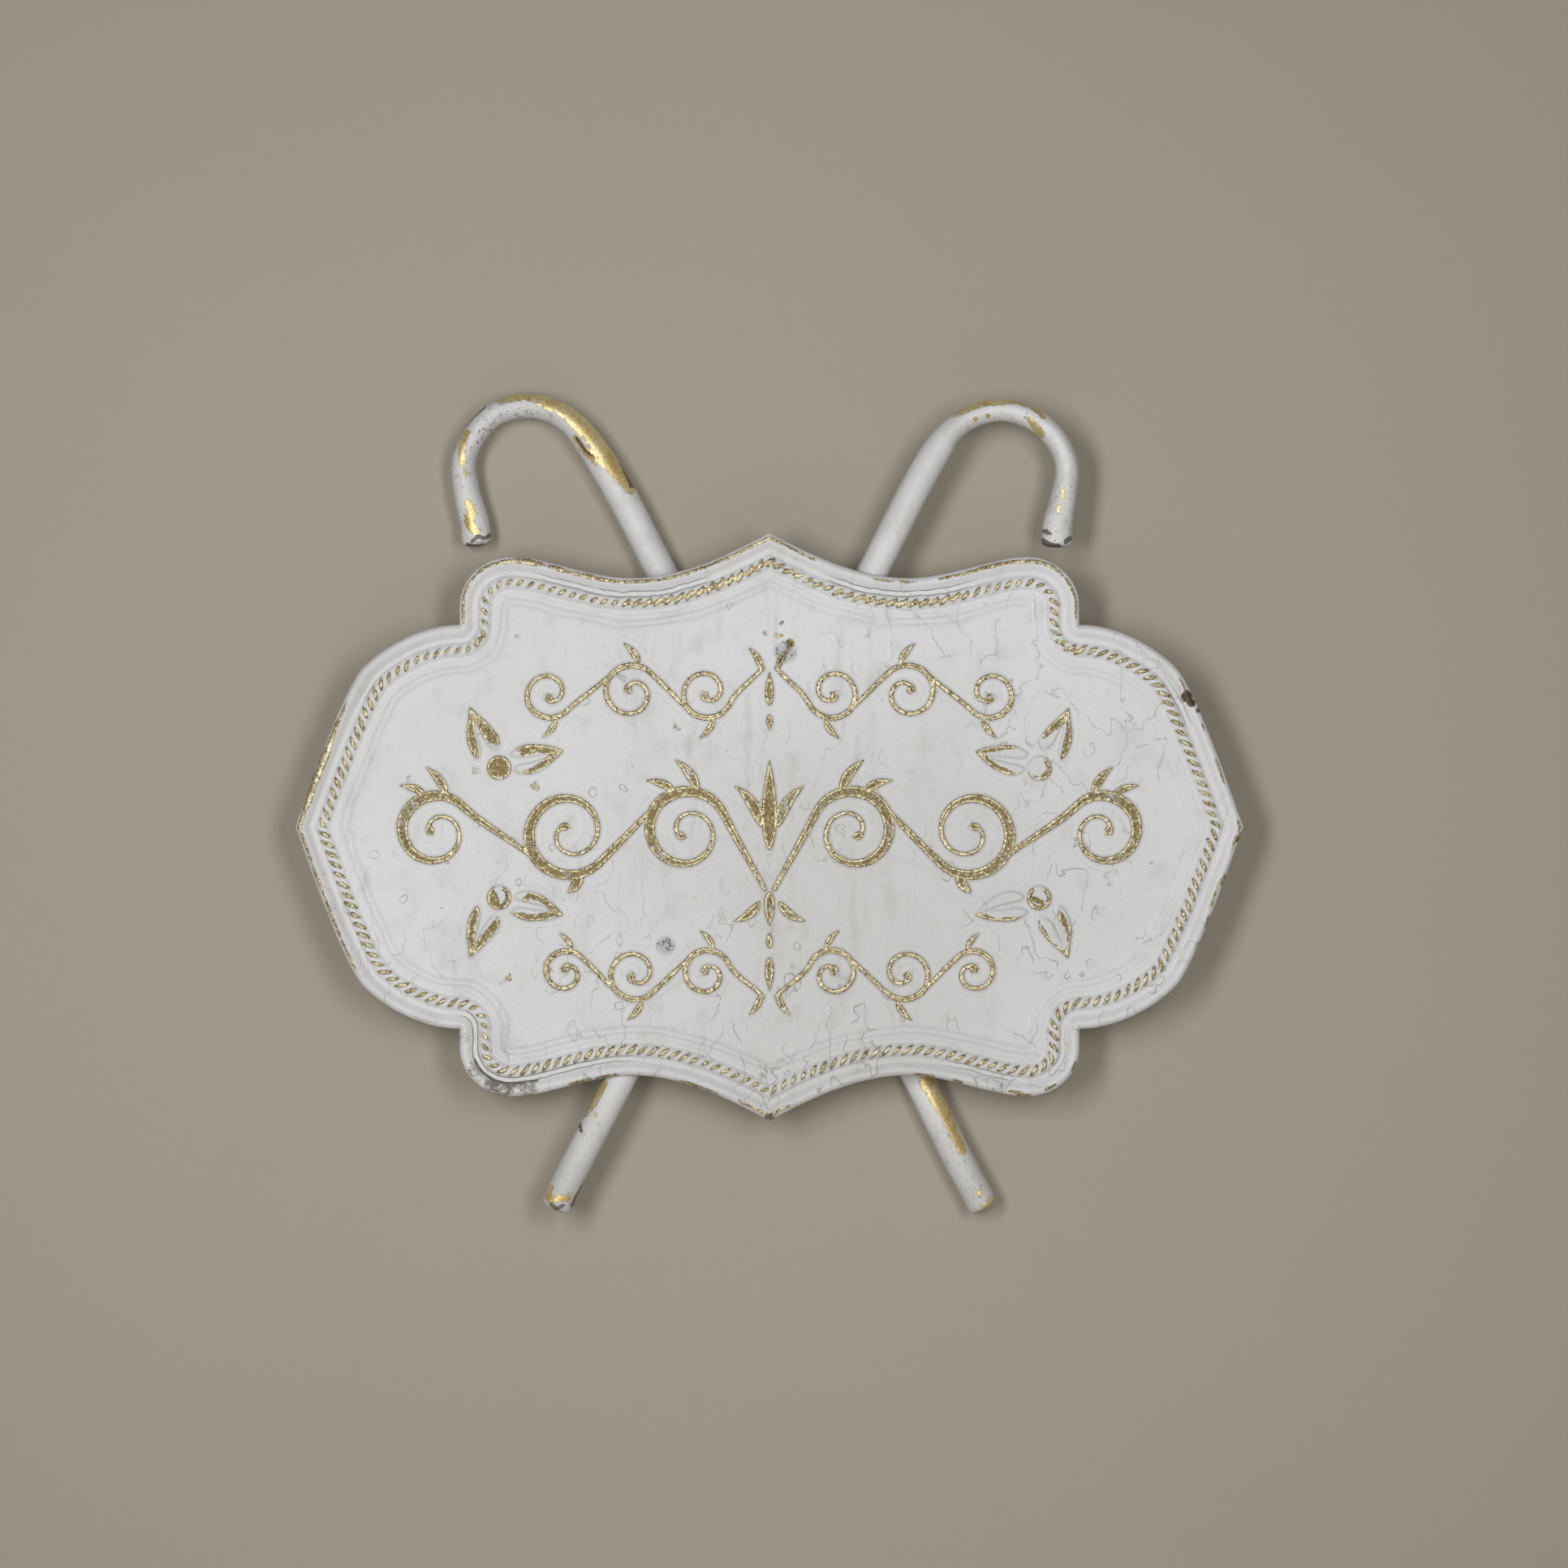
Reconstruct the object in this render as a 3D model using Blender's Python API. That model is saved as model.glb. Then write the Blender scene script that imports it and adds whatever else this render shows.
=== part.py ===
"""Wall-hung shop sign: a pressed, bracket-shaped plate in front of two crossed tube canes.

Metres, +Z up. The front faces -Y and the wall is the plane y = 0. The origin is where the
hanging screw sits, in the upper end of the keyhole of the hanger strap. The shapes below are
drawn about the middle of the plate, and an empty carries them all down to their place.
"""

import math

import bmesh
import bpy
import numpy as np
from mathutils import Vector
from mathutils.geometry import interpolate_bezier

# Overall plate
PLATE_HALF_WIDTH = 0.2897
PLATE_HALF_HEIGHT = 0.1797
SHEET = 0.0010

# Bracket outline, one quarter of it: peak, hollow, ear, notch, shoulder, side point
PEAK_RISE = 0.0278
HOLLOW_X = 0.0843
EAR_RISE = 0.0129
EAR_INSET = 0.1003
EAR_TOP_BACK = 0.0318
EAR_ROUND = 0.0300
EAR_DEPTH = 0.0414
SHOULDER_INSET = 0.0395
SHOULDER_DROP = 0.0282

# Section through the pressed rim: distance in from the edge, height of the front face
RIM_SECTION = (
    (0.0000, 0.0000),
    (0.0000, 0.0020),
    (0.0010, 0.0046),
    (0.0033, 0.0060),
    (0.0060, 0.0049),
    (0.0090, 0.0030),
    (0.0116, 0.0037),
    (0.0135, 0.0055),
    (0.0156, 0.0062),
    (0.0177, 0.0055),
    (0.0200, 0.0031),
    (0.0245, 0.0033),
    (0.0310, 0.0010),
)
SAMPLES = 5

# Canes: 19 mm round steel tube, bent by hand
TUBE_RADIUS = 0.0095
TUBE_WALL = 0.0012
TUBE_SIDES = 16
SQUEEZE_ACROSS = 0.28
SQUEEZE_DEEPER = 0.12
CAP_THICKNESS = 0.0016
SPIGOT_LENGTH = 0.0040

# Gap between pieces that touch, and between a plug and its tube
SEAT = 0.0003
SPIGOT_CLEARANCE = 0.0003

# Hanger strap: a hat-shaped flat bar with a keyhole in its crown
STRAP_WIDTH = 0.0200
STRAP_THICKNESS = 0.0020
STRAP_BEND = 0.0025
STRAP_TO_CANE = 0.0033
CROWN_LENGTH = 0.0320
UPPER_FOOT = 0.0120
LOWER_FOOT = 0.0090
KEYHOLE_RADIUS = 0.0045
SLOT_HALF_WIDTH = 0.0025
SLOT_TRAVEL = 0.0120
SLOT_BELOW_CROWN_TOP = 0.0095

# Rods that hold the rear cane off the plate. Their heights, and the welds', are measured in
# from the hollows of the plate's edge: down from the top's, or up from the bottom's if negative
STANDOFF_RADIUS = 0.0040
STANDOFFS = {"upper": 0.0319, "lower": -0.0369}

# Welds
BEAD_LENGTH = 0.0240
BEAD_REACH = 0.0068
BEAD_WRAP = math.radians(60)
RING_BEAD = 0.0032
STRAP_BEAD = 0.0032
CROSSING_BEAD = 0.0080
CANE_WELDS = {"upper": 0.0319, "middle": -0.0793, "lower": -0.0399}

# Heights of the outline's corners, and depths of what is stacked on the wall
HOLLOW_Z = PLATE_HALF_HEIGHT - PEAK_RISE
EAR_TOP_Z = HOLLOW_Z + EAR_RISE
NOTCH_Z = EAR_TOP_Z - EAR_DEPTH
EAR_X = PLATE_HALF_WIDTH - EAR_INSET
REAR_AXIS_Y = -TUBE_RADIUS
FRONT_AXIS_Y = REAR_AXIS_Y - 2 * TUBE_RADIUS - SEAT
PLATE_BACK_Y = FRONT_AXIS_Y - TUBE_RADIUS - SEAT

# Centre lines seen from the front: sideways, up from the hollow of the plate's top or down
# from that of its bottom, and how far bending has squeezed the tube, from 0 to 1
REAR_HOOK = (
    (-0.1813, 0.0239, 0.15),
    (-0.1824, 0.0350, 0.20),
    (-0.1873, 0.0540, 0.50),
    (-0.1892, 0.0733, 0.70),
    (-0.1831, 0.0886, 0.85),
    (-0.1703, 0.1025, 0.85),
    (-0.1522, 0.1081, 0.68),
    (-0.1360, 0.1054, 0.70),
    (-0.1218, 0.0966, 0.55),
    (-0.1110, 0.0837, 0.25),
    (-0.0927, 0.0544, 0.00),
    (-0.0690, 0.0087, 0.00),
)
REAR_FOOT = (
    (0.0902, 0.0005, 0.00),
    (0.1164, 0.0535, 0.00),
    (0.1268, 0.0728, 0.00),
    (0.1317, 0.0822, 0.00),
)
FRONT_HOOK = (
    (0.1761, 0.0220, 0.08),
    (0.1766, 0.0314, 0.10),
    (0.1806, 0.0515, 0.60),
    (0.1827, 0.0680, 0.90),
    (0.1781, 0.0821, 0.98),
    (0.1654, 0.0959, 1.00),
    (0.1463, 0.1034, 1.00),
    (0.1326, 0.1024, 0.95),
    (0.1206, 0.0978, 0.85),
    (0.1110, 0.0902, 0.65),
    (0.1033, 0.0798, 0.18),
    (0.0931, 0.0625, 0.02),
    (0.0628, 0.0030, 0.00),
)
FRONT_FOOT = (
    (-0.0902, 0.0000, 0.00),
    (-0.1145, 0.0471, 0.00),
    (-0.1258, 0.0691, 0.00),
    (-0.1309, 0.0808, 0.00),
)


def clear_scene():
    for obj in list(bpy.data.objects):
        bpy.data.objects.remove(obj, do_unlink=True)


def paint(name, colour, roughness, metallic):
    material = bpy.data.materials.new(name)
    material.use_nodes = True
    shader = material.node_tree.nodes["Principled BSDF"]
    shader.inputs["Base Color"].default_value = (*colour, 1)
    shader.inputs["Roughness"].default_value = roughness
    shader.inputs["Metallic"].default_value = metallic
    material.diffuse_color = (*colour, 1)
    return material


def add_object(name, bm, material, smooth_under=math.radians(35)):
    """An object in the sign's own space, its faces turned outwards."""
    bmesh.ops.recalc_face_normals(bm, faces=bm.faces)
    mesh = bpy.data.meshes.new(name)
    bm.to_mesh(mesh)
    bm.free()
    mesh.shade_smooth()
    mesh.set_sharp_from_angle(angle=smooth_under)
    obj = bpy.data.objects.new(name, mesh)
    mesh.materials.append(material)
    bpy.context.collection.objects.link(obj)
    obj.parent = sign
    return obj


def add_cutter(name, bm, material):
    obj = add_object(name, bm, material)
    obj.hide_render = True
    obj.display_type = "WIRE"
    return obj


def cut(obj, cutter):
    modifier = obj.modifiers.new("cut " + cutter.name, "BOOLEAN")
    modifier.operation = "DIFFERENCE"
    modifier.solver = "EXACT"
    modifier.object = cutter


def bridge(bm, first, second):
    """Faces between two closed rows of points, skipping what has shrunk to a point."""
    count = len(first)
    for i in range(count):
        j = (i + 1) % count
        corners = list(dict.fromkeys((first[i], first[j], second[j], second[i])))
        if len(corners) > 2:
            bm.faces.new(corners)


def row_of_vertices(bm, points):
    """One vertex for each point, or one for each run of points that lie together."""
    vertices = []
    for point in points:
        if not vertices or (vertices[-1].co - Vector(point)).length > 1e-6:
            vertices.append(bm.verts.new(point))
        else:
            vertices.append(vertices[-1])
    if vertices[0] is not vertices[-1] and (vertices[0].co - vertices[-1].co).length < 1e-6:
        last = vertices[-1]
        vertices = [vertices[0] if vertex is last else vertex for vertex in vertices]
        bm.verts.remove(last)
    return vertices


def loft(bm, rows):
    """A closed solid through rows of points, with a face over each end."""
    rings = [row_of_vertices(bm, row) for row in rows]
    for first, second in zip(rings, rings[1:]):
        bridge(bm, first, second)
    for ring in (rings[0], rings[-1]):
        bm.faces.new(list(dict.fromkeys(ring)))


def quarter_outline():
    """Rows of (x, z, normal x, normal z) from the top peak round to the side point.

    The normals point into the plate. Every SAMPLES-th row becomes a corner of the mesh, and
    the rows between only make the insets exact.
    """
    peak = (0, PLATE_HALF_HEIGHT)
    hollow = (HOLLOW_X, HOLLOW_Z)
    ear_top = (EAR_X - EAR_TOP_BACK, EAR_TOP_Z)
    ear_side = (EAR_X, EAR_TOP_Z - EAR_ROUND)
    notch = (EAR_X, NOTCH_Z)
    shoulder = (PLATE_HALF_WIDTH - SHOULDER_INSET, NOTCH_Z - SHOULDER_DROP)
    side_point = (PLATE_HALF_WIDTH, 0)
    # start, its handle, the end's handle, end, corners along the stretch
    stretches = (
        (peak, (0.026, -0.014), (-0.030, 0), hollow, 5),
        (hollow, (0.026, 0), (-0.022, 0), ear_top, 4),
        (ear_top, (0.0175, 0), (0, 0.0165), ear_side, 6),
        (ear_side, (0, -0.003), (0, 0.003), notch, 1),
        (notch, (0.022, 0.0005), (-0.0115, 0.0140), shoulder, 5),
        (shoulder, (0.012, -0.017), (-0.010, 0.028), side_point, 6),
    )
    rows = []
    for start, leave, arrive, end, corners in stretches:
        first, last = Vector((*start, 0)), Vector((*end, 0))
        steps = corners * SAMPLES
        controls = (first, first + Vector((*leave, 0)), last + Vector((*arrive, 0)), last)
        line = np.array(interpolate_bezier(*controls, steps + 1))[:, :2]
        slope = np.gradient(line, axis=0)
        slope[0] = np.array(leave)
        slope[-1] = -np.array(arrive)
        slope /= np.linalg.norm(slope, axis=1)[:, None]
        normal = np.stack((slope[:, 1], -slope[:, 0]), axis=1)
        if start == notch:
            rows += fan(notch, rows[-1][2:], normal[0], 3 * SAMPLES)
        stretch = np.hstack((line, normal))
        rows += [tuple(row) for row in (stretch if not rows else stretch[1:])]
    return rows


def fan(corner, before, after, steps):
    """Rows at one inner corner, whose normals turn from one side's to the other's."""
    start = math.atan2(before[1], before[0])
    turn = (math.atan2(after[1], after[0]) - start + math.pi) % (2 * math.pi) - math.pi
    angles = [start + turn * k / steps for k in range(1, steps + 1)]
    return [(*corner, math.cos(angle), math.sin(angle)) for angle in angles]


def whole_outline():
    quarter = np.array(quarter_outline())
    right_down = quarter[::-1] * (1, -1, 1, -1)
    right = np.vstack((quarter, right_down[1:]))
    left = right[::-1] * (-1, 1, -1, 1)
    return np.vstack((right, left[1:-1]))


def distance_to_outline(points, outline):
    start = outline[:, :2]
    along = np.roll(start, -1, axis=0) - start
    length = np.maximum((along**2).sum(axis=1), 1e-18)
    offset = points[:, None, :] - start[None]
    share = np.clip((offset * along[None]).sum(axis=2) / length, 0, 1)
    return np.linalg.norm(offset - share[..., None] * along[None], axis=2).min(axis=1)


def inset(outline, distance):
    """The outline moved into the plate, one point for each of its rows.

    A row whose point would come nearer than this to another side has been overtaken, and
    moves to the corner where its neighbours' sides meet.
    """
    normal = outline[:, 2:]
    points = outline[:, :2] + distance * normal
    if distance == 0:
        return points
    tolerance = 2e-5
    good = distance_to_outline(points, outline) > distance - tolerance
    count = len(points)
    result = points.copy()
    start = int(np.argmax(good))
    order = [(start + k) % count for k in range(count + 1)]
    last_good = order[0]
    lost = []
    for i in order[1:]:
        if not good[i]:
            lost.append(i)
            continue
        if lost:
            result[lost] = meeting_point(points, normal, last_good, i)
        last_good, lost = i, []
    return result


def meeting_point(points, normal, i, j):
    """Where the straight lines through points i and j, square to their normals, cross."""
    sides = np.array((normal[i], normal[j]))
    if abs(np.linalg.det(sides)) < 1e-4:
        return (points[i] + points[j]) / 2
    reach = np.array((normal[i] @ points[i], normal[j] @ points[j]))
    return np.linalg.solve(sides, reach)


def back_section(front):
    """The back of a sheet SHEET thick, as distance from the edge and height."""
    points = np.array(front)
    run = np.diff(points, axis=0)
    run /= np.linalg.norm(run, axis=1)[:, None]
    square = np.stack((-run[:, 1], run[:, 0]), axis=1)
    before = np.vstack((square[:1], square))
    after = np.vstack((square, square[-1:]))
    mitre = (before + after) / (1 + (before * after).sum(axis=1))[:, None]
    back = points - SHEET * mitre
    back[0, 1] = points[0, 1]
    back[-1] = points[-1, 0], points[-1, 1] - SHEET
    return [tuple(row) for row in back]


def build_plate(material):
    """The plate: a rim pressed in rings about a flat field."""
    outline = whole_outline()
    bm = bmesh.new()

    def ring(distance, height):
        flat = inset(outline, distance)[::SAMPLES]
        return row_of_vertices(bm, [(x, PLATE_BACK_Y - height, z) for x, z in flat])

    front = [ring(*place) for place in RIM_SECTION]
    back = [ring(*place) for place in back_section(RIM_SECTION)]
    for face in (front, back):
        for outer, inner in zip(face, face[1:]):
            bridge(bm, outer, inner)
        bm.faces.new(list(dict.fromkeys(face[-1])))
    bridge(bm, front[0], back[0])
    return add_object("sign_plate", bm, material)


def smooth_line(rows):
    """Stations along a smooth curve through the rows, closer together where it bends."""
    rows = np.array(rows, float)
    padded = np.vstack((2 * rows[0] - rows[1], rows, 2 * rows[-1] - rows[-2]))
    knots = np.zeros(len(padded))
    for i in range(1, len(padded)):
        knots[i] = knots[i - 1] + math.sqrt(np.linalg.norm(padded[i, :2] - padded[i - 1, :2]))
    stations = []
    for i in range(1, len(padded) - 2):
        span = np.linalg.norm(padded[i + 1, :2] - padded[i, :2])
        steps = 2 if span < 0.05 else 6
        for k in range(steps):
            stations.append(curve_point(padded[i - 1 : i + 3], knots[i - 1 : i + 3], k / steps))
    stations.append(rows[-1])
    return np.array(stations)


def curve_point(p, t, share):
    """One point of a centripetal Catmull-Rom curve, between the middle two of four rows."""
    at = t[1] + (t[2] - t[1]) * share

    def mix(a, b, start, end):
        return a * (end - at) / (end - start) + b * (at - start) / (end - start)

    a = [mix(p[k], p[k + 1], t[k], t[k + 1]) for k in range(3)]
    b = [mix(a[k], a[k + 1], t[k], t[k + 2]) for k in range(2)]
    return mix(b[0], b[1], t[1], t[2])


def cane_line(hook, foot):
    """Stations of (x, z, squeeze) from the hook's tip to the foot."""
    above = [(x, HOLLOW_Z + rise, squeeze) for x, rise, squeeze in hook]
    below = [(x, -HOLLOW_Z - drop, squeeze) for x, drop, squeeze in foot]
    return smooth_line(above + below)


def half_sizes(squeeze):
    """Half width seen from the front, and half depth, of a tube bent so far."""
    return TUBE_RADIUS * (1 - SQUEEZE_ACROSS * squeeze), TUBE_RADIUS * (1 + SQUEEZE_DEEPER * squeeze)


def axis_y(side, half_depth):
    """The rear cane's back lies on the wall, and the front cane's front on the plate."""
    return -half_depth if side == "rear" else PLATE_BACK_Y + SEAT + half_depth


def section(station, direction, side, wall=0.0, along=0.0):
    """Points round the tube at one station, wall in from its surface."""
    half_width, half_depth = half_sizes(station[2])
    centre_y = axis_y(side, half_depth)
    across = np.array((direction[1], -direction[0]))
    points = []
    for k in range(TUBE_SIDES):
        angle = 2 * math.pi * k / TUBE_SIDES
        flat = station[:2] + direction * along + across * (half_width - wall) * math.cos(angle)
        points.append((flat[0], centre_y + (half_depth - wall) * math.sin(angle), flat[1]))
    return points


def directions(line):
    run = np.gradient(line[:, :2], axis=0)
    return run / np.linalg.norm(run, axis=1)[:, None]


def build_cane(side, line, material):
    """An open-ended tube along the line."""
    bm = bmesh.new()
    along = directions(line)
    outer, inner = (
        [row_of_vertices(bm, section(*at, side, wall)) for at in zip(line, along)]
        for wall in (0, TUBE_WALL)
    )
    for skin in (outer, inner):
        for first, second in zip(skin, skin[1:]):
            bridge(bm, first, second)
    bridge(bm, outer[0], inner[0])
    bridge(bm, outer[-1], inner[-1])
    return add_object(side + "_cane", bm, material)


def build_cap(name, side, station, outwards, material):
    """A disc over the end of a tube, with a spigot that plugs it."""
    inside = TUBE_WALL + SPIGOT_CLEARANCE
    round_edge = CAP_THICKNESS / 3
    rows = (
        (inside, -SPIGOT_LENGTH),
        (inside, SEAT),
        (0, SEAT),
        (0, SEAT + CAP_THICKNESS - round_edge),
        (round_edge, SEAT + CAP_THICKNESS),
    )
    bm = bmesh.new()
    loft(bm, [section(station, outwards, side, wall, reach) for wall, reach in rows])
    return add_object(name, bm, material)


def line_at(line, z):
    """The x of a cane at a height, and its upward direction there."""
    reach = BEAD_LENGTH / 2
    below, x, above = np.interp((z - reach, z, z + reach), line[::-1, 1], line[::-1, 0])
    up = np.array((above - below, 2 * reach))
    return float(x), up / np.linalg.norm(up)


def height(inwards):
    """Down from the hollow of the plate's top, or up from that of its bottom if negative."""
    return HOLLOW_Z - inwards if inwards > 0 else -HOLLOW_Z - inwards


def straight_part(line):
    """The stations between the hook and the foot, where x follows from the height."""
    falling = line[line[:, 2] < 0.2]
    return falling[falling[:, 1] < HOLLOW_Z + 0.03]


def crossing(front, rear):
    """Height at which the two canes cross."""
    heights = np.linspace(-HOLLOW_Z, HOLLOW_Z, 2001)
    apart = [line_at(front, z)[0] - line_at(rear, z)[0] for z in heights]
    return float(heights[int(np.argmin(np.abs(apart)))])


def strap_low_z(front, rear):
    """The lowest height at which the strap still fits between the canes, with its clearance."""
    heights = np.linspace(crossing(front, rear), HOLLOW_Z, 2001)
    for z in heights:
        room = []
        for line in (front, rear):
            x, up = line_at(line, z)
            room.append(abs(x) - TUBE_RADIUS / up[1])
        if min(room) > STRAP_WIDTH / 2 + STRAP_TO_CANE:
            return float(z)
    return float(heights[-1])


def strap_centre_line(low, high):
    """Corners of the strap's middle surface from lower to upper foot, as (y, z)."""
    half = STRAP_THICKNESS / 2
    foot_y = PLATE_BACK_Y + SEAT + half
    return (
        (foot_y, low - LOWER_FOOT),
        (foot_y, low + half),
        (-half, low + half),
        (-half, high - half),
        (foot_y, high - half),
        (foot_y, high + UPPER_FOOT),
    )


def rounded(corners, radius, steps=4):
    """The corners joined by straight runs and arcs."""
    points = [np.array(corners[0])]
    for before, corner, after in zip(corners, corners[1:], corners[2:]):
        corner = np.array(corner)
        to_before = (np.array(before) - corner) / np.linalg.norm(np.array(before) - corner)
        to_after = (np.array(after) - corner) / np.linalg.norm(np.array(after) - corner)
        centre = corner + radius * (to_before + to_after)
        for k in range(steps + 1):
            turn = math.pi / 2 * k / steps
            points.append(centre - radius * (math.cos(turn) * to_after + math.sin(turn) * to_before))
    points.append(np.array(corners[-1]))
    return np.array(points)


def thickened(line, half):
    """A closed outline half to each side of the line."""
    run = np.diff(line, axis=0)
    run /= np.linalg.norm(run, axis=1)[:, None]
    square = np.stack((-run[:, 1], run[:, 0]), axis=1)
    before, after = np.vstack((square[:1], square)), np.vstack((square, square[-1:]))
    mitre = (before + after) / (1 + (before * after).sum(axis=1))[:, None]
    return np.vstack((line + half * mitre, (line - half * mitre)[::-1]))


def keyhole_outline(top_z, steps=8):
    """Round slot end at the top, wide hole at the bottom, as (x, z)."""
    hole_z = top_z - SLOT_TRAVEL
    neck = math.asin(SLOT_HALF_WIDTH / KEYHOLE_RADIUS)
    points = []
    for k in range(steps + 1):
        angle = math.pi * k / steps
        points.append((SLOT_HALF_WIDTH * math.cos(angle), top_z + SLOT_HALF_WIDTH * math.sin(angle)))
    for k in range(2 * steps + 1):
        angle = math.pi / 2 + neck + (2 * math.pi - 2 * neck) * k / (2 * steps)
        points.append((KEYHOLE_RADIUS * math.cos(angle), hole_z + KEYHOLE_RADIUS * math.sin(angle)))
    return points


def build_strap(low, top_of_slot, material):
    outline = thickened(
        rounded(strap_centre_line(low, low + CROWN_LENGTH), STRAP_BEND), STRAP_THICKNESS / 2
    )
    bm = bmesh.new()
    loft(bm, [[(x, y, z) for y, z in outline] for x in (-STRAP_WIDTH / 2, STRAP_WIDTH / 2)])
    strap = add_object("hanger_strap", bm, material)
    hole = keyhole_outline(top_of_slot)
    bm = bmesh.new()
    loft(bm, [[(x, y, z) for x, z in hole] for y in (-2 * STRAP_THICKNESS, STRAP_THICKNESS)])
    cut(strap, add_cutter("keyhole_cutter", bm, material))


def turned(profile, centre_x, centre_z, sides=16):
    """A ring or a rod about an axis along Y: profile points are (radius, y)."""
    rows = []
    for radius, y in profile:
        turns = [2 * math.pi * k / sides for k in range(sides)]
        rows.append(
            [(centre_x + radius * math.cos(a), y, centre_z + radius * math.sin(a)) for a in turns]
        )
    return rows


def build_standoff(name, line, z, cutter, material):
    """A rod from the plate's back to the rear cane, with a weld round each end."""
    x, _ = line_at(line, z)
    start = PLATE_BACK_Y + SEAT
    end = REAR_AXIS_Y - TUBE_RADIUS - SEAT
    bm = bmesh.new()
    loft(bm, turned(((STANDOFF_RADIUS, start), (STANDOFF_RADIUS, end)), x, z))
    add_object(name, bm, material)
    inner = STANDOFF_RADIUS + SEAT
    plate_ring = (
        (inner, start),
        (inner + RING_BEAD, start),
        (inner + 0.62 * RING_BEAD, start + 0.45 * RING_BEAD),
        (inner + 0.2 * RING_BEAD, start + RING_BEAD),
        (inner, start + RING_BEAD),
    )
    # The ring at the cane reaches down both sides of the tube, which cuts it to fit
    below = TUBE_RADIUS - math.sqrt(max(TUBE_RADIUS**2 - (inner + RING_BEAD) ** 2, 0))
    cane_ring = (
        (inner, end - RING_BEAD),
        (inner + 0.2 * RING_BEAD, end - RING_BEAD),
        (inner + 0.62 * RING_BEAD, end - 0.45 * RING_BEAD),
        (inner + RING_BEAD, end + 0.5 * below),
        (inner + 0.9 * RING_BEAD, end + below + RING_BEAD / 2),
        (inner, end + below + RING_BEAD / 2),
    )
    for place, profile in (("plate", plate_ring), ("cane", cane_ring)):
        bm = bmesh.new()
        rings = [row_of_vertices(bm, row) for row in turned(profile, x, z)]
        for first, second in zip(rings, rings[1:] + rings[:1]):
            bridge(bm, first, second)
        weld = add_object(f"{name}_weld_{place}", bm, material)
        if place == "cane":
            cut(weld, cutter)


def build_cane_weld(name, line, z, material):
    """A tapered bead along the left side of the front cane, in the corner with the plate."""
    x, up = line_at(line, z)
    left = np.array((-up[1], up[0]))
    radius = TUBE_RADIUS + SEAT
    base = PLATE_BACK_Y + SEAT
    centre_y = FRONT_AXIS_Y
    first = math.acos((centre_y - base) / radius) + math.radians(2)
    rows = []
    stations = 8
    for k in range(stations + 1):
        share = math.sin(math.pi * (k / stations - 0.5))
        reach = (0.6 + 0.4 * math.sqrt(1 - share**4)) * (1 + 0.06 * math.sin(7 * share + 1))
        middle = np.array((x, z)) + up * share * BEAD_LENGTH / 2
        wrap = first + (BEAD_WRAP - first) * reach
        inner = [first + (wrap - first) * step / 4 for step in range(5)]
        outline = [(radius * math.sin(a), centre_y - radius * math.cos(a)) for a in inner]
        toe = (outline[0][0] + BEAD_REACH * reach, base)
        heel = outline[-1]
        bulge = 0.12 * BEAD_REACH * reach
        outline.append(((heel[0] + toe[0]) / 2 + bulge, (heel[1] + toe[1]) / 2 + bulge))
        outline.append(toe)
        rows.append(
            [(middle[0] + left[0] * v, y, middle[1] + left[1] * v) for v, y in outline]
        )
    bm = bmesh.new()
    loft(bm, rows)
    add_object(name, bm, material)


def build_strap_weld(name, corner, along, away, length, material):
    """A short bead between an edge of the strap's foot and the plate's back."""
    base = PLATE_BACK_Y + SEAT
    rows = []
    stations = 6
    for k in range(stations + 1):
        share = 2 * k / stations - 1
        size = STRAP_BEAD * (0.5 + 0.5 * math.sqrt(1 - share**4))
        outline = (
            (SEAT, base),
            (SEAT + size, base),
            (SEAT + 0.72 * size, base + 0.45 * size),
            (SEAT + 0.25 * size, base + 0.7 * size),
            (SEAT, base + 0.7 * size),
        )
        middle = Vector(corner) + Vector(along) * share * length / 2
        rows.append([(middle.x + away[0] * v, y, middle.y + away[1] * v) for v, y in outline])
    bm = bmesh.new()
    loft(bm, rows)
    add_object(name, bm, material)


def build_crossing_weld(name, centre, cutters, material):
    """A lump in the corner beside the point where the canes touch, cut to fit both."""
    bm = bmesh.new()
    bmesh.ops.create_icosphere(bm, subdivisions=2, radius=CROSSING_BEAD)
    for vertex in bm.verts:
        vertex.co.x *= 0.62
        vertex.co.y *= 0.72
        vertex.co += Vector(centre)
    weld = add_object(name, bm, material)
    for cutter in cutters:
        cut(weld, cutter)


def cane_cutter(side, line, material):
    """The straight part of a cane, fatter by the gap that a weld keeps from it."""
    bm = bmesh.new()
    along = directions(line)
    loft(bm, [section(*at, side, -SEAT) for at in zip(line, along)])
    return add_cutter(side + "_cane_cutter", bm, material)


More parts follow.
